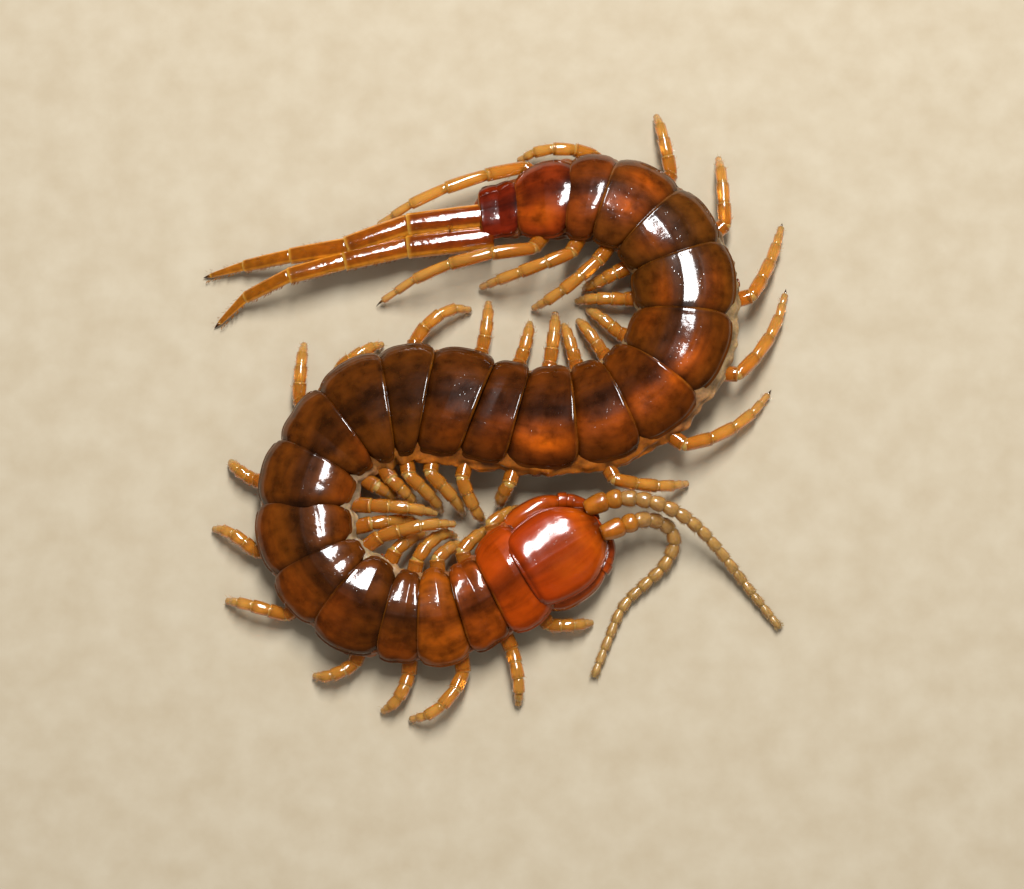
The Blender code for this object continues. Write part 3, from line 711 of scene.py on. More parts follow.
def sternite(number):
    """The flat plate under one segment."""
    u, across = np.meshgrid(np.linspace(0, 1, 20), np.linspace(-1, 1, 31), indexing="ij")
    rounded = STERNITE_CORNER * np.abs(across) ** 6
    start, end = BORDERS[number - 1 : number + 1] + STERNITE_ENDS
    s = start + rounded + u * (end - start - 2 * rounded)
    half = half_width(s) * STERNITE_OUT * (0.90 + 0.10 * np.sin(math.pi * u))
    furrow = 0.03 * (bell(across, 0, 0.05) + bell(u, 0.45, 0.04)) * (1 - across**2)
    height = -0.035 + 0.05 * np.abs(across) ** 3 + furrow
    marks = {"along": u, "across": across * 0.8, "number": number}
    return thick_sheet(body_point(s, across * half, height), STERNITE_THICK, marks)


STERNITE_BROWNS = ((0.03, "b85a18"), (0.2, "a0662a"), (0.8, "98591f"), (1.0, "98400c"))
sternite_cuticle = tanned("pale sternite cuticle", STERNITE_BROWNS, "b98a48", "dba763", 0.6)
sternites = [sternite(number) for number in range(1, SEGMENTS + 1)]
piece("sternites", sternites, sternite_cuticle)
print("sternites:", SEGMENTS)

# %% [markdown]
# ## Walking legs
#
# A leg is a row of stiff tubes: coxa, prefemur, femur, tibia, two tarsal articles and a dark
# claw. Each tube is narrow where it sits in the one before, swells towards its far end and
# stops in a thickened rim, and a bulb of pale membrane shows in each joint. One tapered curve
# with a bevel would lose all of that, so each article is swept on its own from a short profile.
# The joints come from where the foot stands, by the same steps that placed the solids.

# %% Leg joints
SIDES = ((1, "left"), (-1, "right"))
ARTICLES = (0.09, 0.22, 0.22, 0.20, 0.21, 0.06)  # each article's share of the leg, and the claw's
LEG_LENGTH = 4.1
LEG_GROWTH = ((1, 0.80), (2, 0.92), (4, 1.0), (19, 1.0), (20, 1.15), (21, 1.27), (22, 2.0))
ROOT_OUT = 0.90  # where the flank is that a leg's solid stands off, as a share of the half width
ROOT_IN = 0.66  # where the leg that is seen starts, inside the flank, as such a share
ROOT_HEIGHT = 0.26  # share of the body's height
ROOT_CLEAR = 0.16  # room for the solid's own thickness there
ARCH_MOST = 42.0  # degrees
ARCH_BIAS = 1.5  # above 1, the leg rises for more than half of its length
HALVINGS = 30  # of the range in which the arch is looked for
# Where each pair's left and right feet stand, from the first pair: x, y, height, how far the
# leg bows towards the tail on its way, in degrees, and how far down its tergite its root is.
FEET = (
    ((1.05, -4.3, 0.04, 10, 0.42), (4.0, -8.9, 0.04, 15, 0.42)),
    ((-0.2, -5.2, 0.04, 20, 0.42), (0.9, -12.4, 0.04, -15, 0.20)),
    ((-1.45, -5.85, 0.04, 20, 0.42), (-3.6, -12.9, 0.04, -45, 0.25)),
    ((-1.65, -5.35, 0.04, 35, 0.48), (-4.7, -12.6, 0.04, -35, 0.25)),
    ((-2.9, -5.35, 0.04, 15, 0.35), (-7.5, -11.1, 0.04, -35, 0.30)),
    ((-1.6, -4.95, 0.95, 5, 0.50), (-11.2, -8.0, 0.04, 0, 0.42)),
    ((-3.2, -4.75, 0.04, 0, 0.42), (-11.8, -5.0, 0.04, 20, 0.42)),
    ((-2.4, -4.5, 0.80, 0, 0.20), (-11.1, -2.1, 0.04, -20, 0.42)),
    ((-4.25, -3.85, 0.04, 10, 0.25), (-8.1, 3.0, 0.04, 0, 0.70)),
    ((-3.4, -4.0, 0.50, 0, 0.25), (-4.75, 2.95, 0.04, -5, 0.42)),
    ((-2.3, -4.25, 0.04, 5, 0.52), (-1.0, 4.4, 0.04, -35, 0.60)),
    ((-1.35, -4.4, 0.04, 5, 0.52), (-0.35, 4.8, 0.04, 10, 0.70)),
    ((-0.5, -4.65, 0.04, -15, 0.25), (1.42, 3.9, 0.04, 10, 0.60)),
    ((0.35, -3.9, 0.04, -20, 0.20), (2.5, 4.35, 0.04, 5, 0.46)),
    ((8.1, -3.0, 0.04, -20, 0.42), (2.85, 3.8, 0.04, 0, 0.35)),
    ((11.6, 1.0, 0.04, -25, 0.42), (3.45, 4.0, 0.04, 0, 0.35)),
    ((12.3, 5.4, 0.04, -20, 0.35), (3.85, 4.45, 0.04, 0, 0.42)),
    ((12.2, 8.3, 0.04, -10, 0.25), (3.35, 4.8, 0.04, 0, 0.42)),
    ((9.5, 11.2, 0.04, 0, 0.20), (3.75, 5.4, 0.04, -15, 0.35)),
    ((6.85, 13.1, 0.04, 0, 0.25), (1.5, 4.5, 0.04, -20, 0.42)),
    ((0.85, 10.95, 0.04, -20, 0.42), (-0.75, 5.4, 0.04, -12, 0.42)),
    ((-5.3, 7.95, 0.04, -6, 0.55), (-5.1, 4.6, 0.04, 14, 0.42)),
)


def turn_z(vector, angle):
    """The vector turned about the vertical."""
    x, y, z = vector
    cos, sin = math.cos(angle), math.sin(angle)
    return np.array((x * cos - y * sin, x * sin + y * cos, z))


def turn_y(vector, angle):
    """The vector turned so that +X rises."""
    x, y, z = vector
    cos, sin = math.cos(angle), math.sin(angle)
    return np.array((x * cos - z * sin, y, x * sin + z * cos))


def chain(sizes, bow, arch):
    """Joints of a leg from the origin, running out along +X, bowed sideways and arched."""
    joints = [np.zeros(3)]
    for size, middle in zip(sizes, (np.cumsum(sizes) - sizes / 2) / np.sum(sizes)):
        step = turn_y((size, 0.0, 0.0), arch * (1 - 2 * middle**ARCH_BIAS))
        joints.append(joints[-1] + turn_z(step, bow * (1 - 2 * middle)))
    return joints


def leg_joints(pair, side):
    """A walking leg's joints from the body out to the claw, and the place inside its flank."""
    *foot, bow, root_share = FEET[pair - 1][0 if side > 0 else 1]
    s = BORDERS[pair - 1] + root_share * LENGTHS[pair - 1]
    half, swell = float(half_width(s)), float(flank_swell(s, side))
    height = ROOT_HEIGHT * body_height(s)
    root = body_point(s, side * ((ROOT_OUT + swell) * half + GAP + ROOT_CLEAR), height, 1.0)
    inner = body_point(s, side * (ROOT_IN + swell) * half, height)
    reach = np.array(foot) - root
    distance = np.linalg.norm(reach)
    sizes = np.array(ARTICLES) * LEG_LENGTH * float(straight(pair, LEG_GROWTH))
    low, high = 0.0, math.radians(ARCH_MOST)
    for _ in range(HALVINGS):
        arch = (low + high) / 2
        joints = chain(sizes, side * math.radians(bow), arch)
        low, high = (arch, high) if np.linalg.norm(joints[-1]) > distance else (low, arch)
    end = joints[-1]
    scale = distance / np.linalg.norm(end)
    tilt = math.asin(reach[2] / distance) - math.asin(end[2] / np.linalg.norm(end))
    turned = []
    for joint in joints:
        ahead = turn_z(joint, -math.atan2(end[1], end[0])) * scale
        turned.append(root + turn_z(turn_y(ahead, tilt), math.atan2(reach[1], reach[0])))
    return turned, inner


print("the first left leg's foot:", leg_joints(1, 1)[0][-1])

# %% [markdown]
# ## Articles
#
# The profile below is one article from its root to its rim, as shares of its length and of its
# thickest radius. Every leg, last leg and forcipule is made of it, so they are plainly one
# kind of limb, as they are in the animal, where the last legs are long feelers and the
# forcipules are legs turned into poison claws.

# %% Article shapes
ARTICLE_PROFILE = (
    (0.0, 0.74), (0.03, 0.84), (0.09, 0.89), (0.22, 0.93), (0.45, 0.97), (0.70, 1.0), (0.86, 1.0),
    (0.93, 0.985), (0.965, 1.0), (0.99, 0.97), (1.0, 0.88),
)
ARTICLE_MOUTH = 0.70  # the radius to which its end turns in
ARTICLE_RINGS = 26
RIM = 0.035  # the pale ring's width at an article's end, as a share of its length
OVERLAP = 0.05  # how far an article's root sits inside the one before, as a share of its length
CLAW_OVERLAP = 0.08


def article(start, end, radius, place, bend=0.02, sides=20, narrow=1.0, waist=1.0, flat=1.0):
    """One stiff tube of a limb. place is how far along the whole limb it is, from 0 to 1."""
    axis = end - start
    length = np.linalg.norm(axis)
    shares = np.linspace(0, 1, ARTICLE_RINGS) ** 0.9
    swell = 1 - (1 - smooth(shares, ARTICLE_PROFILE)) * waist
    swell[-1] = ARTICLE_MOUTH
    bow = np.outer(bend * length * np.sin(math.pi * shares), beside(axis / length)[1])
    centres = start + np.outer(shares * (1 + OVERLAP) - OVERLAP, axis) + bow
    marks = {"along": shares, "limb": place + 0.2 * (shares - 0.5), "soft": 0.9 * bell(shares, 1.0, RIM)}
    return sweep(centres, radius * swell * (1 + (narrow - 1) * shares), sides, flat, marks)


def joint_bulb(before, joint, after, radius, place, flat=1.0):
    """The membrane that shows in a joint, a short bulb between two articles."""
    shares = np.linspace(-1, 1, 7)
    centres = joint + np.outer(shares * radius * 0.9, unit(after - before))
    marks = {"along": 0.5, "limb": place, "soft": 1.0}
    return sweep(centres, radius * np.sqrt(1.02 - shares**2), 14, flat, marks)


def claw(start, end, radius, place, droop=0.2, darkens=1.6):
    """A curved claw that darkens to its point."""
    shares = np.linspace(0, 1, 12)
    centres = start + np.outer(shares * (1 + CLAW_OVERLAP) - CLAW_OVERLAP, end - start)
    centres[:, 2] += droop * np.linalg.norm(end - start) * np.sin(math.pi * shares)
    marks = {"along": shares, "limb": place, "dark": np.clip(darkens * (shares + 0.16), 0, 1)}
    return sweep(centres, radius * (1 - shares**1.3 * 0.93), 10, marks=marks)


# Thickest radius of each article: coxa, prefemur, femur, tibia, first and second tarsal article.
LEG_RADII = (0.33, 0.30, 0.285, 0.25, 0.195, 0.15)
CLAW_RADIUS = 0.07
TARSUS_SPLIT = 0.55
LEG_BULB = 0.84  # a joint's bulb's radius over its article's


def leg_shapes(pair, side):
    """Articles, joint membranes and claw of one walking leg."""
    joints, inner = leg_joints(pair, side)
    split = joints[4] + TARSUS_SPLIT * (joints[5] - joints[4])
    ends = [inner, *joints[1:5], split, joints[5]]
    shapes = [claw(joints[5], joints[6], CLAW_RADIUS, 1.0)]
    for k, radius in enumerate(LEG_RADII):
        place = k / (len(LEG_RADII) - 1)
        shapes.append(article(ends[k], ends[k + 1], radius, place, waist=1.0 if k else 0.6))
        if k:
            shapes.append(joint_bulb(*ends[k - 1 : k + 2], radius * LEG_BULB, place))
    return shapes


print("an article has", len(ARTICLE_PROFILE), "profile points")

# %% [markdown]
# ## Finish: thin leg cuticle
#
# Leg cuticle is tanned too, but only a hundredth of a millimetre thick, over clear muscle, so a
# leg looks like honey-coloured glass: pale and bright in the middle, with a brighter ring at each
# joint. Along both sides of each tube the colour is painted deeper, as painted shade for the way
# light runs through a clear wall; on the last legs these sides are painted as a bright orange glow
# instead. A little transmission lets the floor shine through. The mark upper says how high up or
# down a point is on its tube, and the painted sides are where it is near zero. A Layer Weight node
# would find edges too, but would move them with each point of view.

# %% Leg cuticle
CLOUDS = 0.35
SKIN_GRAIN_DEEP = 0.003
CLAW_TIP = "2a1207"


def honeyed(name, limb_stops, edge, soft, clear, wax=1.0, roughness=0.16, glow=0.2, clouds=0.6, waves=0.0):
    """Thin clear cuticle whose colour runs along the limb, with pale joints and dark claws."""
    made, tree, shader = cuticle(name, roughness, wax, glow, Transmission_Weight=clear)
    _, along, limb, softness, dark, upper, cloud, grain = sources(
        tree, ("along", "limb", "soft", "dark", "upper"), (CLOUDS, 4.0), (GRAIN, 2.0)
    )
    pigment = add(tree, "ValToRGB", {0: limb}, stops=limb_stops)
    # The sides of each tube, where upper is near zero, are painted in the edge colour, standing in for how
    # light runs through a clear wall: painted shade where it is deeper, a painted glow where it is
    # brighter.
    height = add(tree, "Math", {0: upper}, operation="ABSOLUTE")
    stops = ((0.0, "ffffff"), (0.60, "e0e0e0"), (0.78, "404040"), (0.92, "000000"))
    sides = add(tree, "ValToRGB", {0: height}, stops=stops)
    stops = ((0.0, "d8d8d8"), (0.12, "ffffff"), (0.80, "ececec"), (0.90, "c4c4c4"), (0.96, "ffffff"))
    ends = add(tree, "ValToRGB", {0: along}, stops=stops)
    tones = add(tree, "ValToRGB", {0: cloud}, stops=((0.3, "a8a8a8"), (0.65, "ffffff")))
    fine = add(tree, "Bump", {"Height": grain, "Strength": 0.3, "Distance": SKIN_GRAIN_DEEP * MM})
    relief = add(tree, "Bump", {"Height": cloud, "Strength": 0.6, "Distance": waves * MM, "Normal": fine})
    layers = (
        (sides, linear(edge), "MIX"),
        (0.7, ends, "MULTIPLY"),
        (clouds, tones, "MULTIPLY"),
        (softness, linear(soft), "MIX"),
        (dark, linear(CLAW_TIP), "MIX"),
    )
    dress(tree, shader, pigment, layers, relief)
    return made


LEG_HONEYS = ((0.0, "e07c1c"), (0.3, "f0a03c"), (0.7, "fab858"), (1.0, "fcc270"))
look = {"roughness": 0.04, "clouds": 0.2}
# f08c1c is the painted shade along both sides of each leg article.
leg_cuticle = honeyed("thin amber leg cuticle", LEG_HONEYS, "f08c1c", "ffc868", 0.66, **look)
for side, word in SIDES:
    for pair in range(1, len(FEET) + 1):
        name = f"leg_{word}_{pair:02d}"
        piece("walking_" + name, leg_shapes(pair, side), leg_cuticle, (name,))
print("walking legs:", 2 * len(FEET))

# %% [markdown]
# ## Last legs
#
# The last pair is never walked on. It trails behind like a pair of stiff feelers, five long
# articles and a small claw to each, more glossy and redder than the walking legs, with a bright
# orange ring at each joint and two spines on the first article.

# %% Last legs
LAST_LEG_ARTICLES = (3.2, 2.7, 2.4, 2.0, 1.75)
LAST_LEG_RADII = (0.56, 0.48, 0.40, 0.32, 0.22)
# Each leg's root on the floor plan, its articles' headings, and its joints' heights.
LAST_LEG_LEFT = ((-0.67, 8.24), (188, 200, 188, 188, 193), (1.20, 1.34, 1.34, 1.05, 0.48, 0.07))
LAST_LEG_RIGHT = ((-0.67, 7.28), (187, 194, 196, 202, 222), (1.10, 1.22, 1.32, 1.38, 0.62, 0.07))
LAST_LEG_INSIDE = 0.35  # how far the root is moved on into the body
LAST_LEG_FLAT = 0.74  # a last leg's height as a share of its width, which widens its highlight
LAST_LEG_TIP = 0.45  # the last article's far radius over its near one
LAST_BULB = 0.90
LAST_CLAW = 0.16  # share of the last article that is claw
LAST_CLAW_RADIUS = 0.085
# Two spines on each first article: how far along it, and the way they point on the left leg.
SPINES = ((0.42, (-0.25, 0.75, 0.60)), (0.52, (-0.35, 0.20, -0.90)))
SPINE_ROOT, SPINE_TIP, SPINE_RADIUS = 0.42, 0.80, 0.10


def last_leg_joints(side):
    """A last leg's joints from its root, which sits a little inside the body, to its tip."""
    start, headings, heights = LAST_LEG_LEFT if side > 0 else LAST_LEG_RIGHT
    joints = [np.array((*start, heights[0]))]
    for size, heading, z in zip(LAST_LEG_ARTICLES, headings, heights[1:]):
        x, y, _ = joints[-1] + turn_z((size, 0.0, 0.0), math.radians(heading))
        joints.append(np.array((x, y, z)))
    joints[0] = joints[0] + LAST_LEG_INSIDE * unit(joints[0] - joints[1])
    return joints


def last_leg_shapes(side):
    """Articles, joint membranes, spines and claw of one last leg."""
    joints = last_leg_joints(side)
    tip = joints[5]
    joints[5] = joints[4] + (1 - LAST_CLAW) * (joints[5] - joints[4])
    shapes = [claw(joints[5], tip, LAST_CLAW_RADIUS, 1.0, 0.0)]
    for k, radius in enumerate(LAST_LEG_RADII):
        narrow = (LAST_LEG_RADII[k + 1] / radius) ** 0.5 if k < 4 else LAST_LEG_TIP
        tube = (k / 4, 0.012, 28, narrow, 0.22, LAST_LEG_FLAT)
        shapes.append(article(joints[k], joints[k + 1], radius, *tube))
        if k:
            shapes.append(joint_bulb(*joints[k - 1 : k + 2], radius * LAST_BULB, k / 4, LAST_LEG_FLAT))
    for share, way in SPINES:
        root = joints[0] + share * (joints[1] - joints[0])
        way = np.array(way) * (1, -side, 1)
        shapes.append(claw(root + way * SPINE_ROOT, root + way * SPINE_TIP, SPINE_RADIUS, 0.3, 0.0, 0.1))
    return shapes


LAST_LEG_REDS = ((0.0, "803002"), (0.12, "944404"), (0.5, "a05206"), (0.75, "a65c0a"), (1.0, "ac6412"))
look = {"roughness": 0.1, "glow": 0.1, "waves": 0.04}
# ffa42c is a painted orange glow along both sides of each last leg article.
last_leg_cuticle = honeyed("tawny last leg cuticle", LAST_LEG_REDS, "ffa42c", "ffc850", 0.25, **look)
for side, word in SIDES:
    name = f"last_leg_{word}"
    piece(f"trailing_{name}", last_leg_shapes(side), last_leg_cuticle, (name,))
print("last legs: 2")

# %% [markdown]
# ## Head
#
# Bark centipedes have no eyes. The head is a flattened capsule under one smooth oval shield,
# whose rear edge lies over the first tergite and whose front edge carries the antennae. Beside
# and under it lie the forcipules, the poison claws, which are the legs of the first segment,
# on a broad plate of their own. The whole head is rolled a little with the body, so more of the
# left forcipule shows than of the right.

# %% Places on the head
HEAD_HEADING = math.radians(32.0)
HEAD_ROLL = math.radians(6.0)
HEAD_ROLL_HEIGHT = 0.7


def head_place(forward, out, height):
    """Points of the head: forward from its rear, out to its left, and up, all rolled with it."""
    forward, out, height = np.broadcast_arrays(*(np.asarray(x, float) for x in (forward, out, height)))
    lift = height - HEAD_ROLL_HEIGHT
    side = out * math.cos(HEAD_ROLL) - lift * math.sin(HEAD_ROLL)
    z = HEAD_ROLL_HEIGHT + out * math.sin(HEAD_ROLL) + lift * math.cos(HEAD_ROLL)
    turned = turn_z((GAP + forward, side, z), HEAD_HEADING)
    return np.moveaxis(turned, 0, -1) + (*BODY_START, 0.0)


# %% Head shield and capsule
SHIELD_REAR, SHIELD_FRONT = -1.06, 2.90
SHIELD_HALF = (
    (-1.06, 1.16), (-1.0, 1.36), (-0.85, 1.55), (-0.5, 1.72), (0.0, 1.82), (0.5, 1.86), (1.0, 1.83),
    (1.5, 1.70), (2.0, 1.40), (2.4, 1.06), (2.7, 0.74), (2.85, 0.48), (2.90, 0.30),
)
SHIELD_EDGE = ((-1.06, 2.10), (0.0, 2.02), (1.5, 1.96), (2.3, 1.86), (2.9, 1.72))
SHIELD_CROWN = (
    (-1.06, 2.64), (-0.8, 2.73), (0.0, 2.70), (1.0, 2.62), (2.0, 2.49), (2.5, 2.22), (2.9, 1.80),
)
SHIELD_SHIFT = -0.15  # how far its middle lies to the right
SHIELD_THICK = 0.07
SHIELD_SPREAD = 1.30  # how closely its columns stand at its sides
SHIELD_SIDE_LINES = ((0.035, 0.985, 0.03), (-0.03, 0.93, 0.025))
SHIELD_REAR_LINES = ((0.03, 0.012, 0.012), (-0.025, 0.035, 0.014))
FACE_LINE = ((-0.05, 0, 0.09),)  # the short furrow between the antennae
DOME = ((0.0, 1.0), (0.3, 0.935), (0.6, 0.74), (0.8, 0.47), (0.93, 0.18), (1.0, 0.0))
DOME_OUT = ((0.0, 0.0), (0.3, 0.34), (0.6, 0.67), (0.8, 0.87), (0.93, 0.97), (1.0, 1.0))
HEAD_UNDERSIDE = 1.42
HEAD_HAZE = 0.14  # roughness of the head's wax, a little duller than on the plates


def shield():
    """The oval plate on top of the head."""
    u = 0.5 - 0.5 * np.cos(math.pi * np.linspace(0, 1, 72))
    u, across = np.meshgrid(u, to_ends(113, SHIELD_SPREAD), indexing="ij")
    forward = SHIELD_REAR + u * (SHIELD_FRONT - SHIELD_REAR)
    aside = np.abs(across)
    edge, crown = smooth(forward, SHIELD_EDGE), smooth(forward, SHIELD_CROWN)
    out = SHIELD_SHIFT + np.sign(across) * smooth(aside, DOME_OUT) * smooth(forward, SHIELD_HALF)
    height = edge + smooth(aside, DOME) * (crown - edge)
    height += lines(aside, SHIELD_SIDE_LINES) + lines(u, SHIELD_REAR_LINES)
    height += lines(out, FACE_LINE) * bell(forward, SHIELD_FRONT, 0.42)
    height += uneven(head_place(forward, out, height), (0.006, 1.5, 71), (*DIMPLED, 72))
    # Painted light: the glow mark makes the shield a lighter orange towards its right side and its front,
    # as if light came through it.
    glow = 0.5 * bell(forward, 0.8, 1.1) * bell(across, -0.45, 0.5) + 0.7 * bell(forward, 2.2, 0.7)
    marks = {"along": 1 - u, "across": across, "number": 1.0, "glow": glow}
    return thick_sheet(head_place(forward, out, height), SHIELD_THICK, marks)


def squarer(values, power):
    """Sines or cosines of a circle, changed by a power under 1 so that it gets corners."""
    return np.sign(values) * np.abs(values) ** power


def round_grid(start, end, rows, columns):
    """Places forward from start to end, and angles all round."""
    turn = np.linspace(0, CIRCLE, columns, endpoint=False)
    return np.meshgrid(np.linspace(start, end, rows), turn, indexing="ij")


def capsule():
    """The head's sides and underside, under the shield."""
    forward, turn = round_grid(SHIELD_REAR + 0.35, SHIELD_FRONT - 0.03, 46, 72)
    half = np.maximum(smooth(forward, SHIELD_HALF) - 0.10, 0.12)
    top = smooth(forward, SHIELD_EDGE) + 0.12
    bottom = HEAD_UNDERSIDE + 0.25 * np.clip((forward - 2.2) / 0.7, 0, 1) ** 2
    height = (top + bottom) / 2 + squarer(np.sin(turn), 0.75) * (top - bottom) / 2
    grid = head_place(forward, squarer(np.cos(turn), 0.55) * half, height)
    return capped(grid, {"along": 0.5, "across": 0.6, "number": 1.0})


HEAD_ORANGE = ((0.0, "9c3200"), (1.0, "9c3200"))
look = {"mottling": 0.5, "middle": "e0e0e0", "haze": HEAD_HAZE}
head_cuticle = tanned("tanned orange head cuticle", HEAD_ORANGE, "8e3204", "a03a06", 0.4, **look)
piece("head_shield", [shield()], head_cuticle, ("head",))
piece("head_capsule", [capsule()], head_cuticle)
print("head: shield and capsule")

# %% [markdown]
# ## Forcipules
#
# Each forcipule has one big article that takes up the side of the head, two short ones, and a
# long hollow claw, black at the tip, whose point lies under the front of the head. They stand
# on the coxosternite, a broad plate with two small toothed edges.

# %% Forcipule shapes
# The big article's line: forward, out and up on the head, and its radius.
FORCIPULE = (
    (-0.75, 1.56, 1.16, 0.42), (-0.10, 1.88, 1.20, 0.47), (0.60, 1.92, 1.22, 0.48),
    (1.30, 1.86, 1.20, 0.48), (1.95, 1.68, 1.16, 0.44),
)
SHORT_ARTICLES = ((1.92, 1.70, 1.14), (2.24, 1.52, 1.10), (2.48, 1.32, 1.06))
SHORT_RADII = (0.37, 0.33)
POISON_CLAW = (
    (2.40, 1.38, 1.07, 0.34), (2.70, 1.08, 1.02, 0.29), (2.92, 0.76, 0.96, 0.21),
    (3.03, 0.44, 0.90, 0.12), (3.05, 0.18, 0.84, 0.03),
)
CLAW_RINGS = 30
BASE_HALF = ((-0.7, 1.60), (-0.3, 1.96), (0.2, 2.10), (0.7, 2.06), (1.2, 1.80), (1.75, 1.15), (1.98, 0.85))
BASE_HEIGHT, BASE_TALL = 1.06, 0.32
TEETH, TOOTH_SPACING = 4, 0.14
TOOTH_RADII = (0.075, 0.078, 0.07, 0.055, 0.035, 0.012)


def through(knots, side):
    """Points and radii evenly set along a smooth curve through knots on one side of the head."""
    at = np.linspace(0, len(knots) - 1, CLAW_RINGS)
    forward, out, up, radius = (smooth(at, list(enumerate(column))) for column in zip(*knots))
    return head_place(forward, side * out, up), radius


def forcipule_shapes(side):
    """One poison claw: the big article, two short ones and the curved claw."""
    line, radius = through(FORCIPULE, side)
    rounded = np.sin(np.linspace(0.16, 0.93, CLAW_RINGS) * math.pi) ** 0.35
    marks = {"along": np.linspace(0, 0.85, CLAW_RINGS)}
    shapes = [sweep(line, radius * rounded, 28, marks=marks)]
    stops = [head_place(forward, side * out, up) for forward, out, up in SHORT_ARTICLES]
    for k, radius in enumerate(SHORT_RADII):
        shapes.append(article(stops[k], stops[k + 1], radius, 0.2, 0.0, 24, waist=0.35))
    line, radius = through(POISON_CLAW, side)
    marks = {"along": np.linspace(0, 1, CLAW_RINGS), "limb": 0.3}
    marks["dark"] = np.clip(np.linspace(-0.9, 1.15, CLAW_RINGS), 0, 1)
    return [*shapes, sweep(line, radius, 24, marks=marks)]


def coxosternite():
    """The plate under the head that carries the forcipules, with its two toothed edges."""
    forward, turn = round_grid(BASE_HALF[0][0], BASE_HALF[-1][0], 40, 56)
    out = squarer(np.cos(turn), 0.6) * smooth(forward, BASE_HALF)
    height = BASE_HEIGHT + squarer(np.sin(turn), 0.8) * BASE_TALL
    height += 0.04 * bell(out, 0, 0.05) * (np.sin(turn) < 0)
    shapes = [capped(head_place(forward, out, height), {"along": 0.5, "across": 0.5, "number": 1.0})]
    for side, _ in SIDES:
        for tooth in range(TEETH):
            aside = TOOTH_SPACING * tooth
            root = head_place(1.93, side * (0.18 + aside), 1.0)
            tip = head_place(2.10 - 0.02 * tooth, side * (0.19 + aside), 0.98)
            line = root + np.outer(np.linspace(0, 1, len(TOOTH_RADII)), tip - root)
            shapes.append(sweep(line, TOOTH_RADII, 10))
    return shapes


FORCIPULE_REDS = ((0.0, "a44204"), (0.3, "943604"))
look = {"glow": 0.08}
# 7c2c04 is the painted shade along both sides of the forcipules, palps and spiracle rings.
forcipule_cuticle = honeyed("hardened forcipule cuticle", FORCIPULE_REDS, "7c2c04", "b85a10", 0.0, **look)
for side, word in SIDES:
    nodes = (f"forcipule_{word}",)
    piece(f"poison_claw_{word}", forcipule_shapes(side), forcipule_cuticle, nodes)
piece("coxosternite", coxosternite(), head_cuticle, ("forcipule_base",))
print("forcipules: 2")

# %% [markdown]
# ## Antennae
#
# Seventeen beads to an antenna. The first two are bare, glossy and orange like the head, and
# the rest are covered with short pale down, which hides the gloss and makes them look matt.

# %% Antenna shapes
ANTENNA_ARTICLES = 17
ANTENNA_LENGTH = 10.2
ANTENNA_RADII = ((0.0, 0.43), (0.09, 0.41), (0.15, 0.34), (0.5, 0.25), (1.0, 0.16))  # along it
ANTENNA_ROOT = (2.95, 0.62)  # along the head, and out from its middle
ANTENNA_INSIDE = 0.40  # how far the first bead goes back into the head
ANTENNA_SAMPLES = 170
STEEPEST = 0.05  # the least share of its length that any stretch covers on the floor plan, squared
# Headings and heights at even steps along it.
ANTENNA_LEFT = (
    (25, 2, -15, -30, -42, -50, -52, -52, -50),
    (1.95, 2.0, 1.95, 1.7, 1.2, 0.7, 0.4, 0.28, 0.2),
)
ANTENNA_RIGHT = (
    (23, 20, -20, -110, -138, -138, -112, -112, -110),
    (1.95, 1.75, 1.1, 0.6, 0.4, 0.3, 0.27, 0.25, 0.2),
)
BARE_ARTICLES = 2
BEAD = ((0.0, 0.60), (0.06, 0.72), (0.2, 0.85), (0.55, 1.0), (0.85, 0.97), (0.95, 0.88), (1.0, 0.70))
BEAD_OVERLAP = 0.06


def antenna_line(side):
    """Evenly spaced points down the middle of an antenna."""
    headings, heights = ANTENNA_LEFT if side > 0 else ANTENNA_RIGHT
    shares = np.linspace(0.0, 1.0, ANTENNA_SAMPLES + 1)
    knots = np.linspace(0.0, 1.0, len(headings))
    azimuth = np.radians(np.interp(shares, knots, headings))
    z = np.interp(shares, knots, heights)
    step = ANTENNA_LENGTH / ANTENNA_SAMPLES
    flat = np.sqrt(np.maximum(STEEPEST, 1 - np.gradient(z, step) ** 2)) * step
    root = turn_z((GAP + ANTENNA_ROOT[0], side * ANTENNA_ROOT[1], 0.0), HEAD_HEADING)
    x = BODY_START[0] + root[0] + np.cumsum(flat * np.cos(azimuth))
    y = BODY_START[1] + root[1] + np.cumsum(flat * np.sin(azimuth))
    return shares, np.stack([x, y, z], axis=-1)


def antenna_at(side, share):
    """The point a share of the way along an antenna."""
    shares, line = antenna_line(side)
    return np.stack([np.interp(share, shares, line[:, axis]) for axis in range(3)], axis=-1)


def antenna_shapes(side):
    """The beads of one antenna, the first of them let into the head."""
    shapes = []
    for k in range(ANTENNA_ARTICLES):
        inner = np.linspace(0, 1, 18)
        share = (k + inner * (1 + BEAD_OVERLAP) - BEAD_OVERLAP) / ANTENNA_ARTICLES
        centres = antenna_at(side, np.maximum(share, 0))
        swell = smooth(inner, BEAD)
        if k == 0:
            ahead = unit(antenna_at(side, 0.02) - antenna_at(side, 0.0))
            centres = centres - np.outer((1 - inner) ** 2 * ANTENNA_INSIDE, ahead)
        if k == ANTENNA_ARTICLES - 1:
            tip = np.sqrt(np.maximum(1 - np.clip((inner - 0.45) / 0.56, 0, 1) ** 2, 0.02))
            swell = tip * smooth(inner, BEAD[:4])
        wide = straight(share, ANTENNA_RADII)
        marks = {"along": inner, "limb": k / (ANTENNA_ARTICLES - 1)}
        shapes.append(sweep(centres, wide * swell, 20, marks=marks))
    return shapes


DOWNY_BROWNS = ((0.0, "c06c10"), (0.065, "c47a20"), (0.12, "c08c48"), (0.5, "c8984e"), (1.0, "d0a45c"))
look = {"wax": 0.6, "roughness": 0.25}
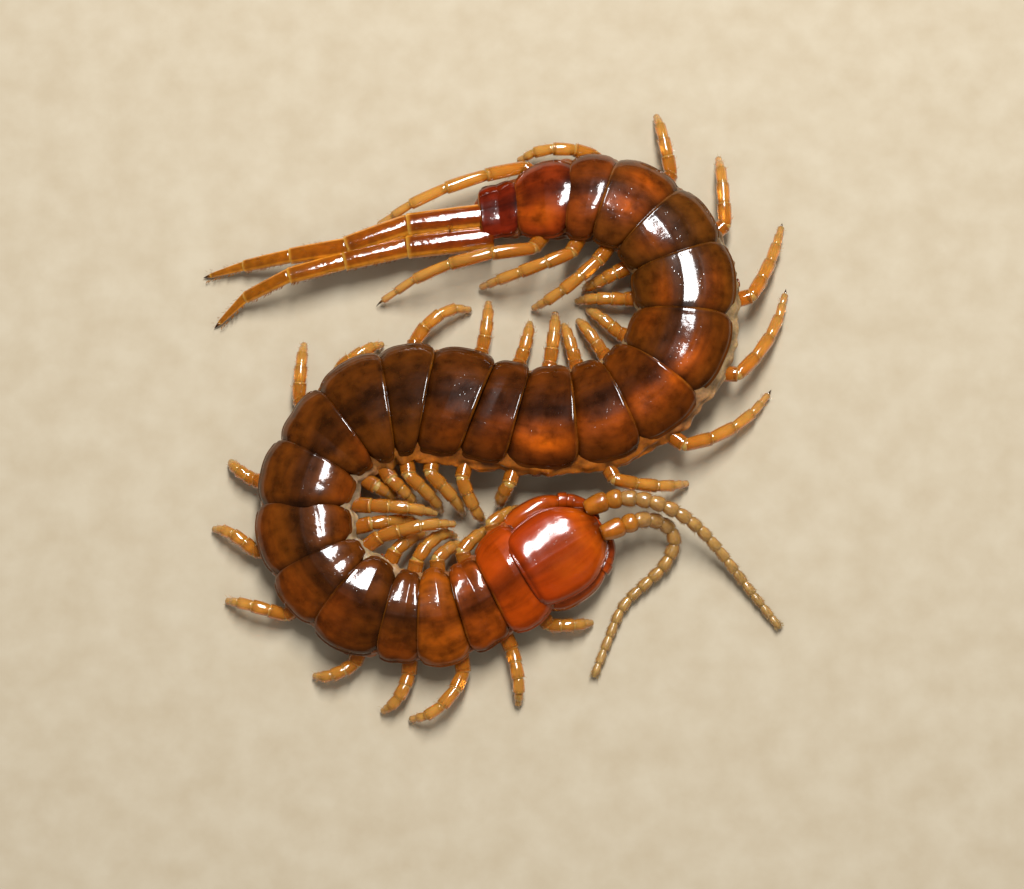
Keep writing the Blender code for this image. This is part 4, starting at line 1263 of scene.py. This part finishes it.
# b06a20 is the painted shade along both sides of each antenna bead.
antenna_cuticle = honeyed("downy antenna cuticle", DOWNY_BROWNS, "b06a20", "d0983c", 0.3, **look)
for side, word in SIDES:
    piece(f"beads_{word}", antenna_shapes(side), antenna_cuticle, (f"antenna_{word}",))
print("antennae: 2 of", ANTENNA_ARTICLES, "articles")

# %% [markdown]
# ## Palps and spiracles
#
# Two kinds of small parts are easy to miss and soon missed by someone who knows the animal. The
# palps of the second maxillae lie folded between the head and the poison claws. The spiracles,
# the holes that it breathes through, are oval rings in the soft flank of ten of the segments.

# %% Palps and spiracles
PALP = ((1.55, 0.72, 1.30), (2.25, 0.86, 1.28), (2.72, 0.62, 1.27), (2.92, 0.26, 1.27), (2.96, 0.12, 1.25))
PALP_RADII = (0.15, 0.125, 0.10)
SPIRACLE_SEGMENTS = (3, 5, 8, 10, 12, 14, 16, 18, 20, 22)
SPIRACLE_TURN = 0.60  # between crown and belly
SPIRACLE_LONG, SPIRACLE_TALL, SPIRACLE_RIM = 0.16, 0.09, 0.035


def palp_shapes(side):
    """The three articles and the small claw of one palp."""
    stops = [head_place(forward, side * out, up) for forward, out, up in PALP]
    shapes = [claw(stops[3], stops[4], 0.05, 0.3, 0.0)]
    for start, end, radius in zip(stops, stops[1:], PALP_RADII):
        shapes.append(article(start, end, radius, 0.3, 0.0, 16, waist=0.5))
    return shapes


def spiracle(number, side):
    """The raised oval ring round one breathing hole, on the skin itself."""
    i = int(np.argmin(np.abs(skin_s - MIDDLES[number - 1])))
    j = int(np.argmin(np.abs(skin_turn - side * SPIRACLE_TURN)))
    long = unit(rings[i + 2, j] - rings[i - 2, j])
    tall = rings[i, j + 1] - rings[i, j - 1]
    tall = unit(tall - long * (tall @ long))
    turn = np.linspace(0, CIRCLE, 33)
    oval = np.outer(np.cos(turn), long) * SPIRACLE_LONG + np.outer(np.sin(turn), tall) * SPIRACLE_TALL
    return sweep(rings[i, j] + oval, SPIRACLE_RIM, 8, marks={"along": 0.5, "limb": 0.3, "dark": 0.45})


palps = [shape for side, _ in SIDES for shape in palp_shapes(side)]
piece("maxilla_palps", palps, forcipule_cuticle)
holes = [spiracle(number, side) for number in SPIRACLE_SEGMENTS for side, _ in SIDES]
piece("spiracle_rings", holes, forcipule_cuticle)
print("palps: 2, spiracles:", len(holes))

# %% [markdown]
# ## Down and bristles
#
# The antennae wear a short pale down from the third article on, each leg has a few fine bristles
# and small spurs, and the last legs carry a fringe. Particle hair would be the usual way, but
# hairs that have to last outside Blender are solid, so each one here is a bent three-sided spike
# of ten triangles. Each also has a small patch of its own on a map called OFBake, at its root's
# place on the limb as if that were slit open and laid flat, so its colour can be baked.

# %% Hairs
PATCH = 0.003  # a hair's width on its map
EDGE_OF_MAP = 0.01
SUNK = 0.02  # how far a hair starts inside the cuticle
SPIKE = (
    (0, 2, 1), (0, 1, 4), (0, 4, 3), (1, 2, 5), (1, 5, 4), (2, 0, 3), (2, 3, 5),
    (3, 4, 6), (4, 5, 6), (5, 3, 6),
)
ANY_WAY = (0.31, 0.17, 0.93)  # a way that no hair grows, to turn its corners from


def hairs(roots, out, ahead, leans, lengths, thick, shares, angles, limb):
    """Hairs of one article: each starts outwards and ahead by the first lean, and ends by the
    second. Shares and angles are its roots' places on the limb's part of the map."""
    count = len(roots)
    ways, tips = (unit(out * away + ahead * along) for away, along in leans)
    places = np.stack([shares, angles / CIRCLE], axis=-1)
    sizes = (np.broadcast_to(lengths, count), np.broadcast_to(thick, count))
    return roots, ways, tips, *sizes, places, np.broadcast_to(limb, count)


def coat(name, articles, material):
    """All hairs of the articles as one mesh of bent spikes, with their patches on the map."""
    roots, ways, tips, lengths, thick, places, limbs = map(np.concatenate, zip(*articles))
    count = len(roots)
    side = unit(np.cross(ways, ANY_WAY))
    up = np.cross(side, ways)
    middle = roots + ways * lengths[:, None] * 0.5
    points = np.empty((count, 7, 3))
    spots = np.zeros((count, 7, 2))
    for level, (at, share) in enumerate(((roots - ways * SUNK, 1.0), (middle, 0.7))):
        for k in range(3):
            cos, sin = math.cos(k * CIRCLE / 3), math.sin(k * CIRCLE / 3)
            points[:, 3 * level + k] = at + (side * cos + up * sin) * thick[:, None] * share
            spots[:, 3 * level + k] = np.array((cos, sin)) * PATCH / 2 * share
    points[:, 6] = middle + tips * lengths[:, None] * 0.5
    spots += EDGE_OF_MAP + (1 - 2 * EDGE_OF_MAP) * places[:, None, :]
    faces = (np.arange(count)[:, None, None] * 7 + np.array(SPIKE)).reshape(-1, 3)
    marks = {
        "along": np.tile((0.3, 0.3, 0.3, 0.5, 0.5, 0.5, 0.7), count),
        "limb": np.repeat(limbs, 7),
        "upper": np.full(7 * count, 0.9),
    }
    made = piece(name, [(points.reshape(-1, 3), faces.tolist(), marks)], material)
    layer = made.data.uv_layers.new(name="OFBake")
    layer.data.foreach_set("uv", spots.reshape(-1, 2)[faces.ravel()].ravel())
    print(name, "has", count, "hairs")


# %% Down on the antennae
DOWN_PER_ARTICLE = 170
DOWN_LENGTH = 0.11
DOWN_THICK = 0.0075
DOWN_LEANS = ((0.75, 0.65), (0.35, 0.95))
LONG_HAIRS = 0.05  # share of them that are twice as long

draw = np.random.RandomState(17)
for side, word in SIDES:
    articles = []
    for k in range(BARE_ARTICLES, ANTENNA_ARTICLES):
        inner = draw.uniform(0.03, 0.97, DOWN_PER_ARTICLE)
        angles = draw.uniform(0, CIRCLE, DOWN_PER_ARTICLE)
        share = (k + inner) / ANTENNA_ARTICLES
        ahead = unit(antenna_at(side, share + 0.004) - antenna_at(side, share - 0.004))
        across, above = beside(ahead)
        out = across * np.cos(angles)[:, None] + above * np.sin(angles)[:, None]
        wide = straight(share, ANTENNA_RADII) * smooth(inner, BEAD)
        long = DOWN_LENGTH * draw.uniform(0.7, 1.2, DOWN_PER_ARTICLE)
        long = long * np.where(draw.uniform(size=DOWN_PER_ARTICLE) < LONG_HAIRS, 2, 1)
        roots = antenna_at(side, share) + out * wide[:, None] * 0.97
        limb = k / (ANTENNA_ARTICLES - 1)
        articles.append(hairs(roots, out, ahead, DOWN_LEANS, long, DOWN_THICK, share, angles, limb))
    coat(f"down_{word}", articles, antenna_cuticle)

# %% Bristles on the legs
BRISTLES_PER_ARTICLE = 12
BRISTLE_LENGTH = 0.17
BRISTLE_THICK = 0.009
BRISTLE_LEANS = ((0.8, 0.6), (0.45, 0.9))
SPUR_LENGTH, SPUR_THICK = 0.20, 0.028
SPUR_SHARES, SPUR_ANGLES = np.array((0.93, 0.95)), np.array((4.3, 5.1))
SPURRED = (3, 4)  # the articles that end in spurs
LAST_ARTICLES = 5
FRINGE_LENGTH = 0.13
# Hairs per article of a last leg, their thickness, and the angles between which they stand.
FRINGES = ((40, BRISTLE_THICK, 0.0, CIRCLE), (26, 0.016, math.pi - 0.35, math.pi + 0.1))


def bristles(joints, k, radius, which, length, thick, shares, angles, limb):
    """One article's bristles. Which limb of how many it is gives its strip of the map."""
    index, limbs = which
    start, end = joints[k], joints[k + 1]
    ahead = unit(end - start)
    side, up = beside(ahead)
    out = np.outer(np.cos(angles), side) + np.outer(np.sin(angles), up)
    roots = start + np.outer(shares, end - start) + out * radius * 0.95
    on_map = (index + (k + shares) / LAST_ARTICLES) / limbs
    return hairs(roots, out, ahead, BRISTLE_LEANS, length, thick, on_map, angles, limb)


articles = []
for index in range(2 * len(FEET)):
    joints, _ = leg_joints(index // 2 + 1, 1 if index % 2 else -1)
    for k in range(1, LAST_ARTICLES):
        shares = draw.uniform(0.12, 0.96, BRISTLES_PER_ARTICLE)
        angles = draw.uniform(0, CIRCLE, BRISTLES_PER_ARTICLE)
        rows = [(BRISTLE_LENGTH * draw.uniform(0.6, 1.3), BRISTLE_THICK, shares, angles)]
        if k in SPURRED:
            rows.append((SPUR_LENGTH, SPUR_THICK, SPUR_SHARES, SPUR_ANGLES))
        for row in rows:
            articles.append(bristles(joints, k, LEG_RADII[k], (index, 2 * len(FEET)), *row, k / 5))
coat("leg_bristles", articles, leg_cuticle)

articles = []
for index, (side, _) in enumerate(SIDES):
    joints = last_leg_joints(side)
    for k, radius in enumerate(LAST_LEG_RADII):
        for count, thick, low, high in FRINGES:
            shares = draw.uniform(0.05, 0.97, count)
            row = (FRINGE_LENGTH, thick, shares, draw.uniform(low, high, count))
            articles.append(bristles(joints, k, radius, (index, 2), *row, k / 4))
coat("last_leg_bristles", articles, last_leg_cuticle)

# %% [markdown]
# ## Studio
#
# The floor is one pale sheet of matt card. The camera looks down at 78 degrees, as the
# photograph does. The key light is a long soft box on the far side, which draws a long white
# streak down each shiny back where the body runs towards it, and throws the shadows to the
# near side. The pale world fills them.

# %% Floor, camera and lights
TARGET = (0.672, -1.353, 0.0)
FLOOR_HALF = 900.0
FLOOR_DOWN = 0.02  # under the feet
CARD_FIBRE = 1.5
CARD_ROUGHNESS = 0.85
CAMERA_LENS = 100.0
# Elevation, azimuth from +Y towards +X, and distance.
CAMERA = (78.0, 180.0, 119.4)
# Name, elevation, azimuth, distance, width, length, power.
LAMPS = (
    ("key softbox", 63.0, 9.0, 150.0, 26.0, 90.0, 0.36),
    ("side fill", 40.0, 120.0, 180.0, 60.0, 60.0, 0.03),
    ("near fill", 45.0, 215.0, 180.0, 60.0, 60.0, 0.02),
)
ROOM, ROOM_IN_WAX = 0.38, 0.05  # the world's strength as a light, and in reflections


def aimed(name, lens, elevation, azimuth, distance):
    """A new lamp or camera that looks at the target from that far away."""
    made = bpy.data.objects.new(name, lens)
    e, a = math.radians(elevation), math.radians(azimuth)
    away = np.array((math.cos(e) * math.sin(a), math.cos(e) * math.cos(a), math.sin(e)))
    made.location = to_metres([TARGET + away * distance])[0]
    made.rotation_euler = Vector(-away).to_track_quat("-Z", "Y").to_euler()
    bpy.context.scene.collection.objects.link(made)
    return made


floor_mesh = bpy.data.meshes.new("floor")
corners = [(x * FLOOR_HALF, y * FLOOR_HALF, -FLOOR_DOWN) for x, y in ((-1, -1), (1, -1), (1, 1), (-1, 1))]
floor_mesh.from_pydata(np.array(corners) * MM, [], [(0, 1, 2, 3)])
floor = bpy.data.objects.new("floor", floor_mesh)
bpy.context.scene.collection.objects.link(floor)
floor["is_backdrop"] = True
card = bpy.data.materials.new("matt pale card")
card.use_nodes = True
tree, shader = card.node_tree, card.node_tree.nodes["Principled BSDF"]
shader.inputs["Roughness"].default_value = CARD_ROUGHNESS
_, fibre = sources(tree, (), (CARD_FIBRE, 8.0))
tone = add(tree, "ValToRGB", {0: fibre}, stops=((0.3, "a4967e"), (0.7, "aca08a")))
tree.links.new(tone, shader.inputs["Base Color"])
floor_mesh.materials.append(card)

lens = bpy.data.cameras.new("camera")
lens.lens = CAMERA_LENS
lens.sensor_width = 36.0
lens.clip_start, lens.clip_end = 0.001, 2.0
camera = aimed("camera", lens, *CAMERA)
bpy.context.scene.camera = camera

for name, *place, width, length, power in LAMPS:
    lamp = bpy.data.lights.new(name, "AREA")
    lamp.shape = "RECTANGLE"
    lamp.size, lamp.size_y = width * MM, length * MM
    lamp.energy = power
    aimed(name, lamp, *place).visible_glossy = name.startswith("key")

bpy.context.scene.view_settings.view_transform = "Standard"
world = bpy.data.worlds.new("studio")
bpy.context.scene.world = world
world.use_nodes = True
tree, room = world.node_tree, world.node_tree.nodes["Background"]
room.inputs["Color"].default_value = linear("f2efe9")
# The room is dim in reflections, so that only the key draws streaks on the wax.
seen = add(tree, "LightPath", {}, "Is Glossy Ray")
strength = add(tree, "MapRange", {0: seen, 3: ROOM, 4: ROOM_IN_WAX})
tree.links.new(strength, room.inputs["Strength"])
print("camera at", [round(v, 4) for v in camera.location])

# %% Sizes and finish
low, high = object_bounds()
print("visual box, mm:", [round(v / MM, 2) for v in (*low, *high)])
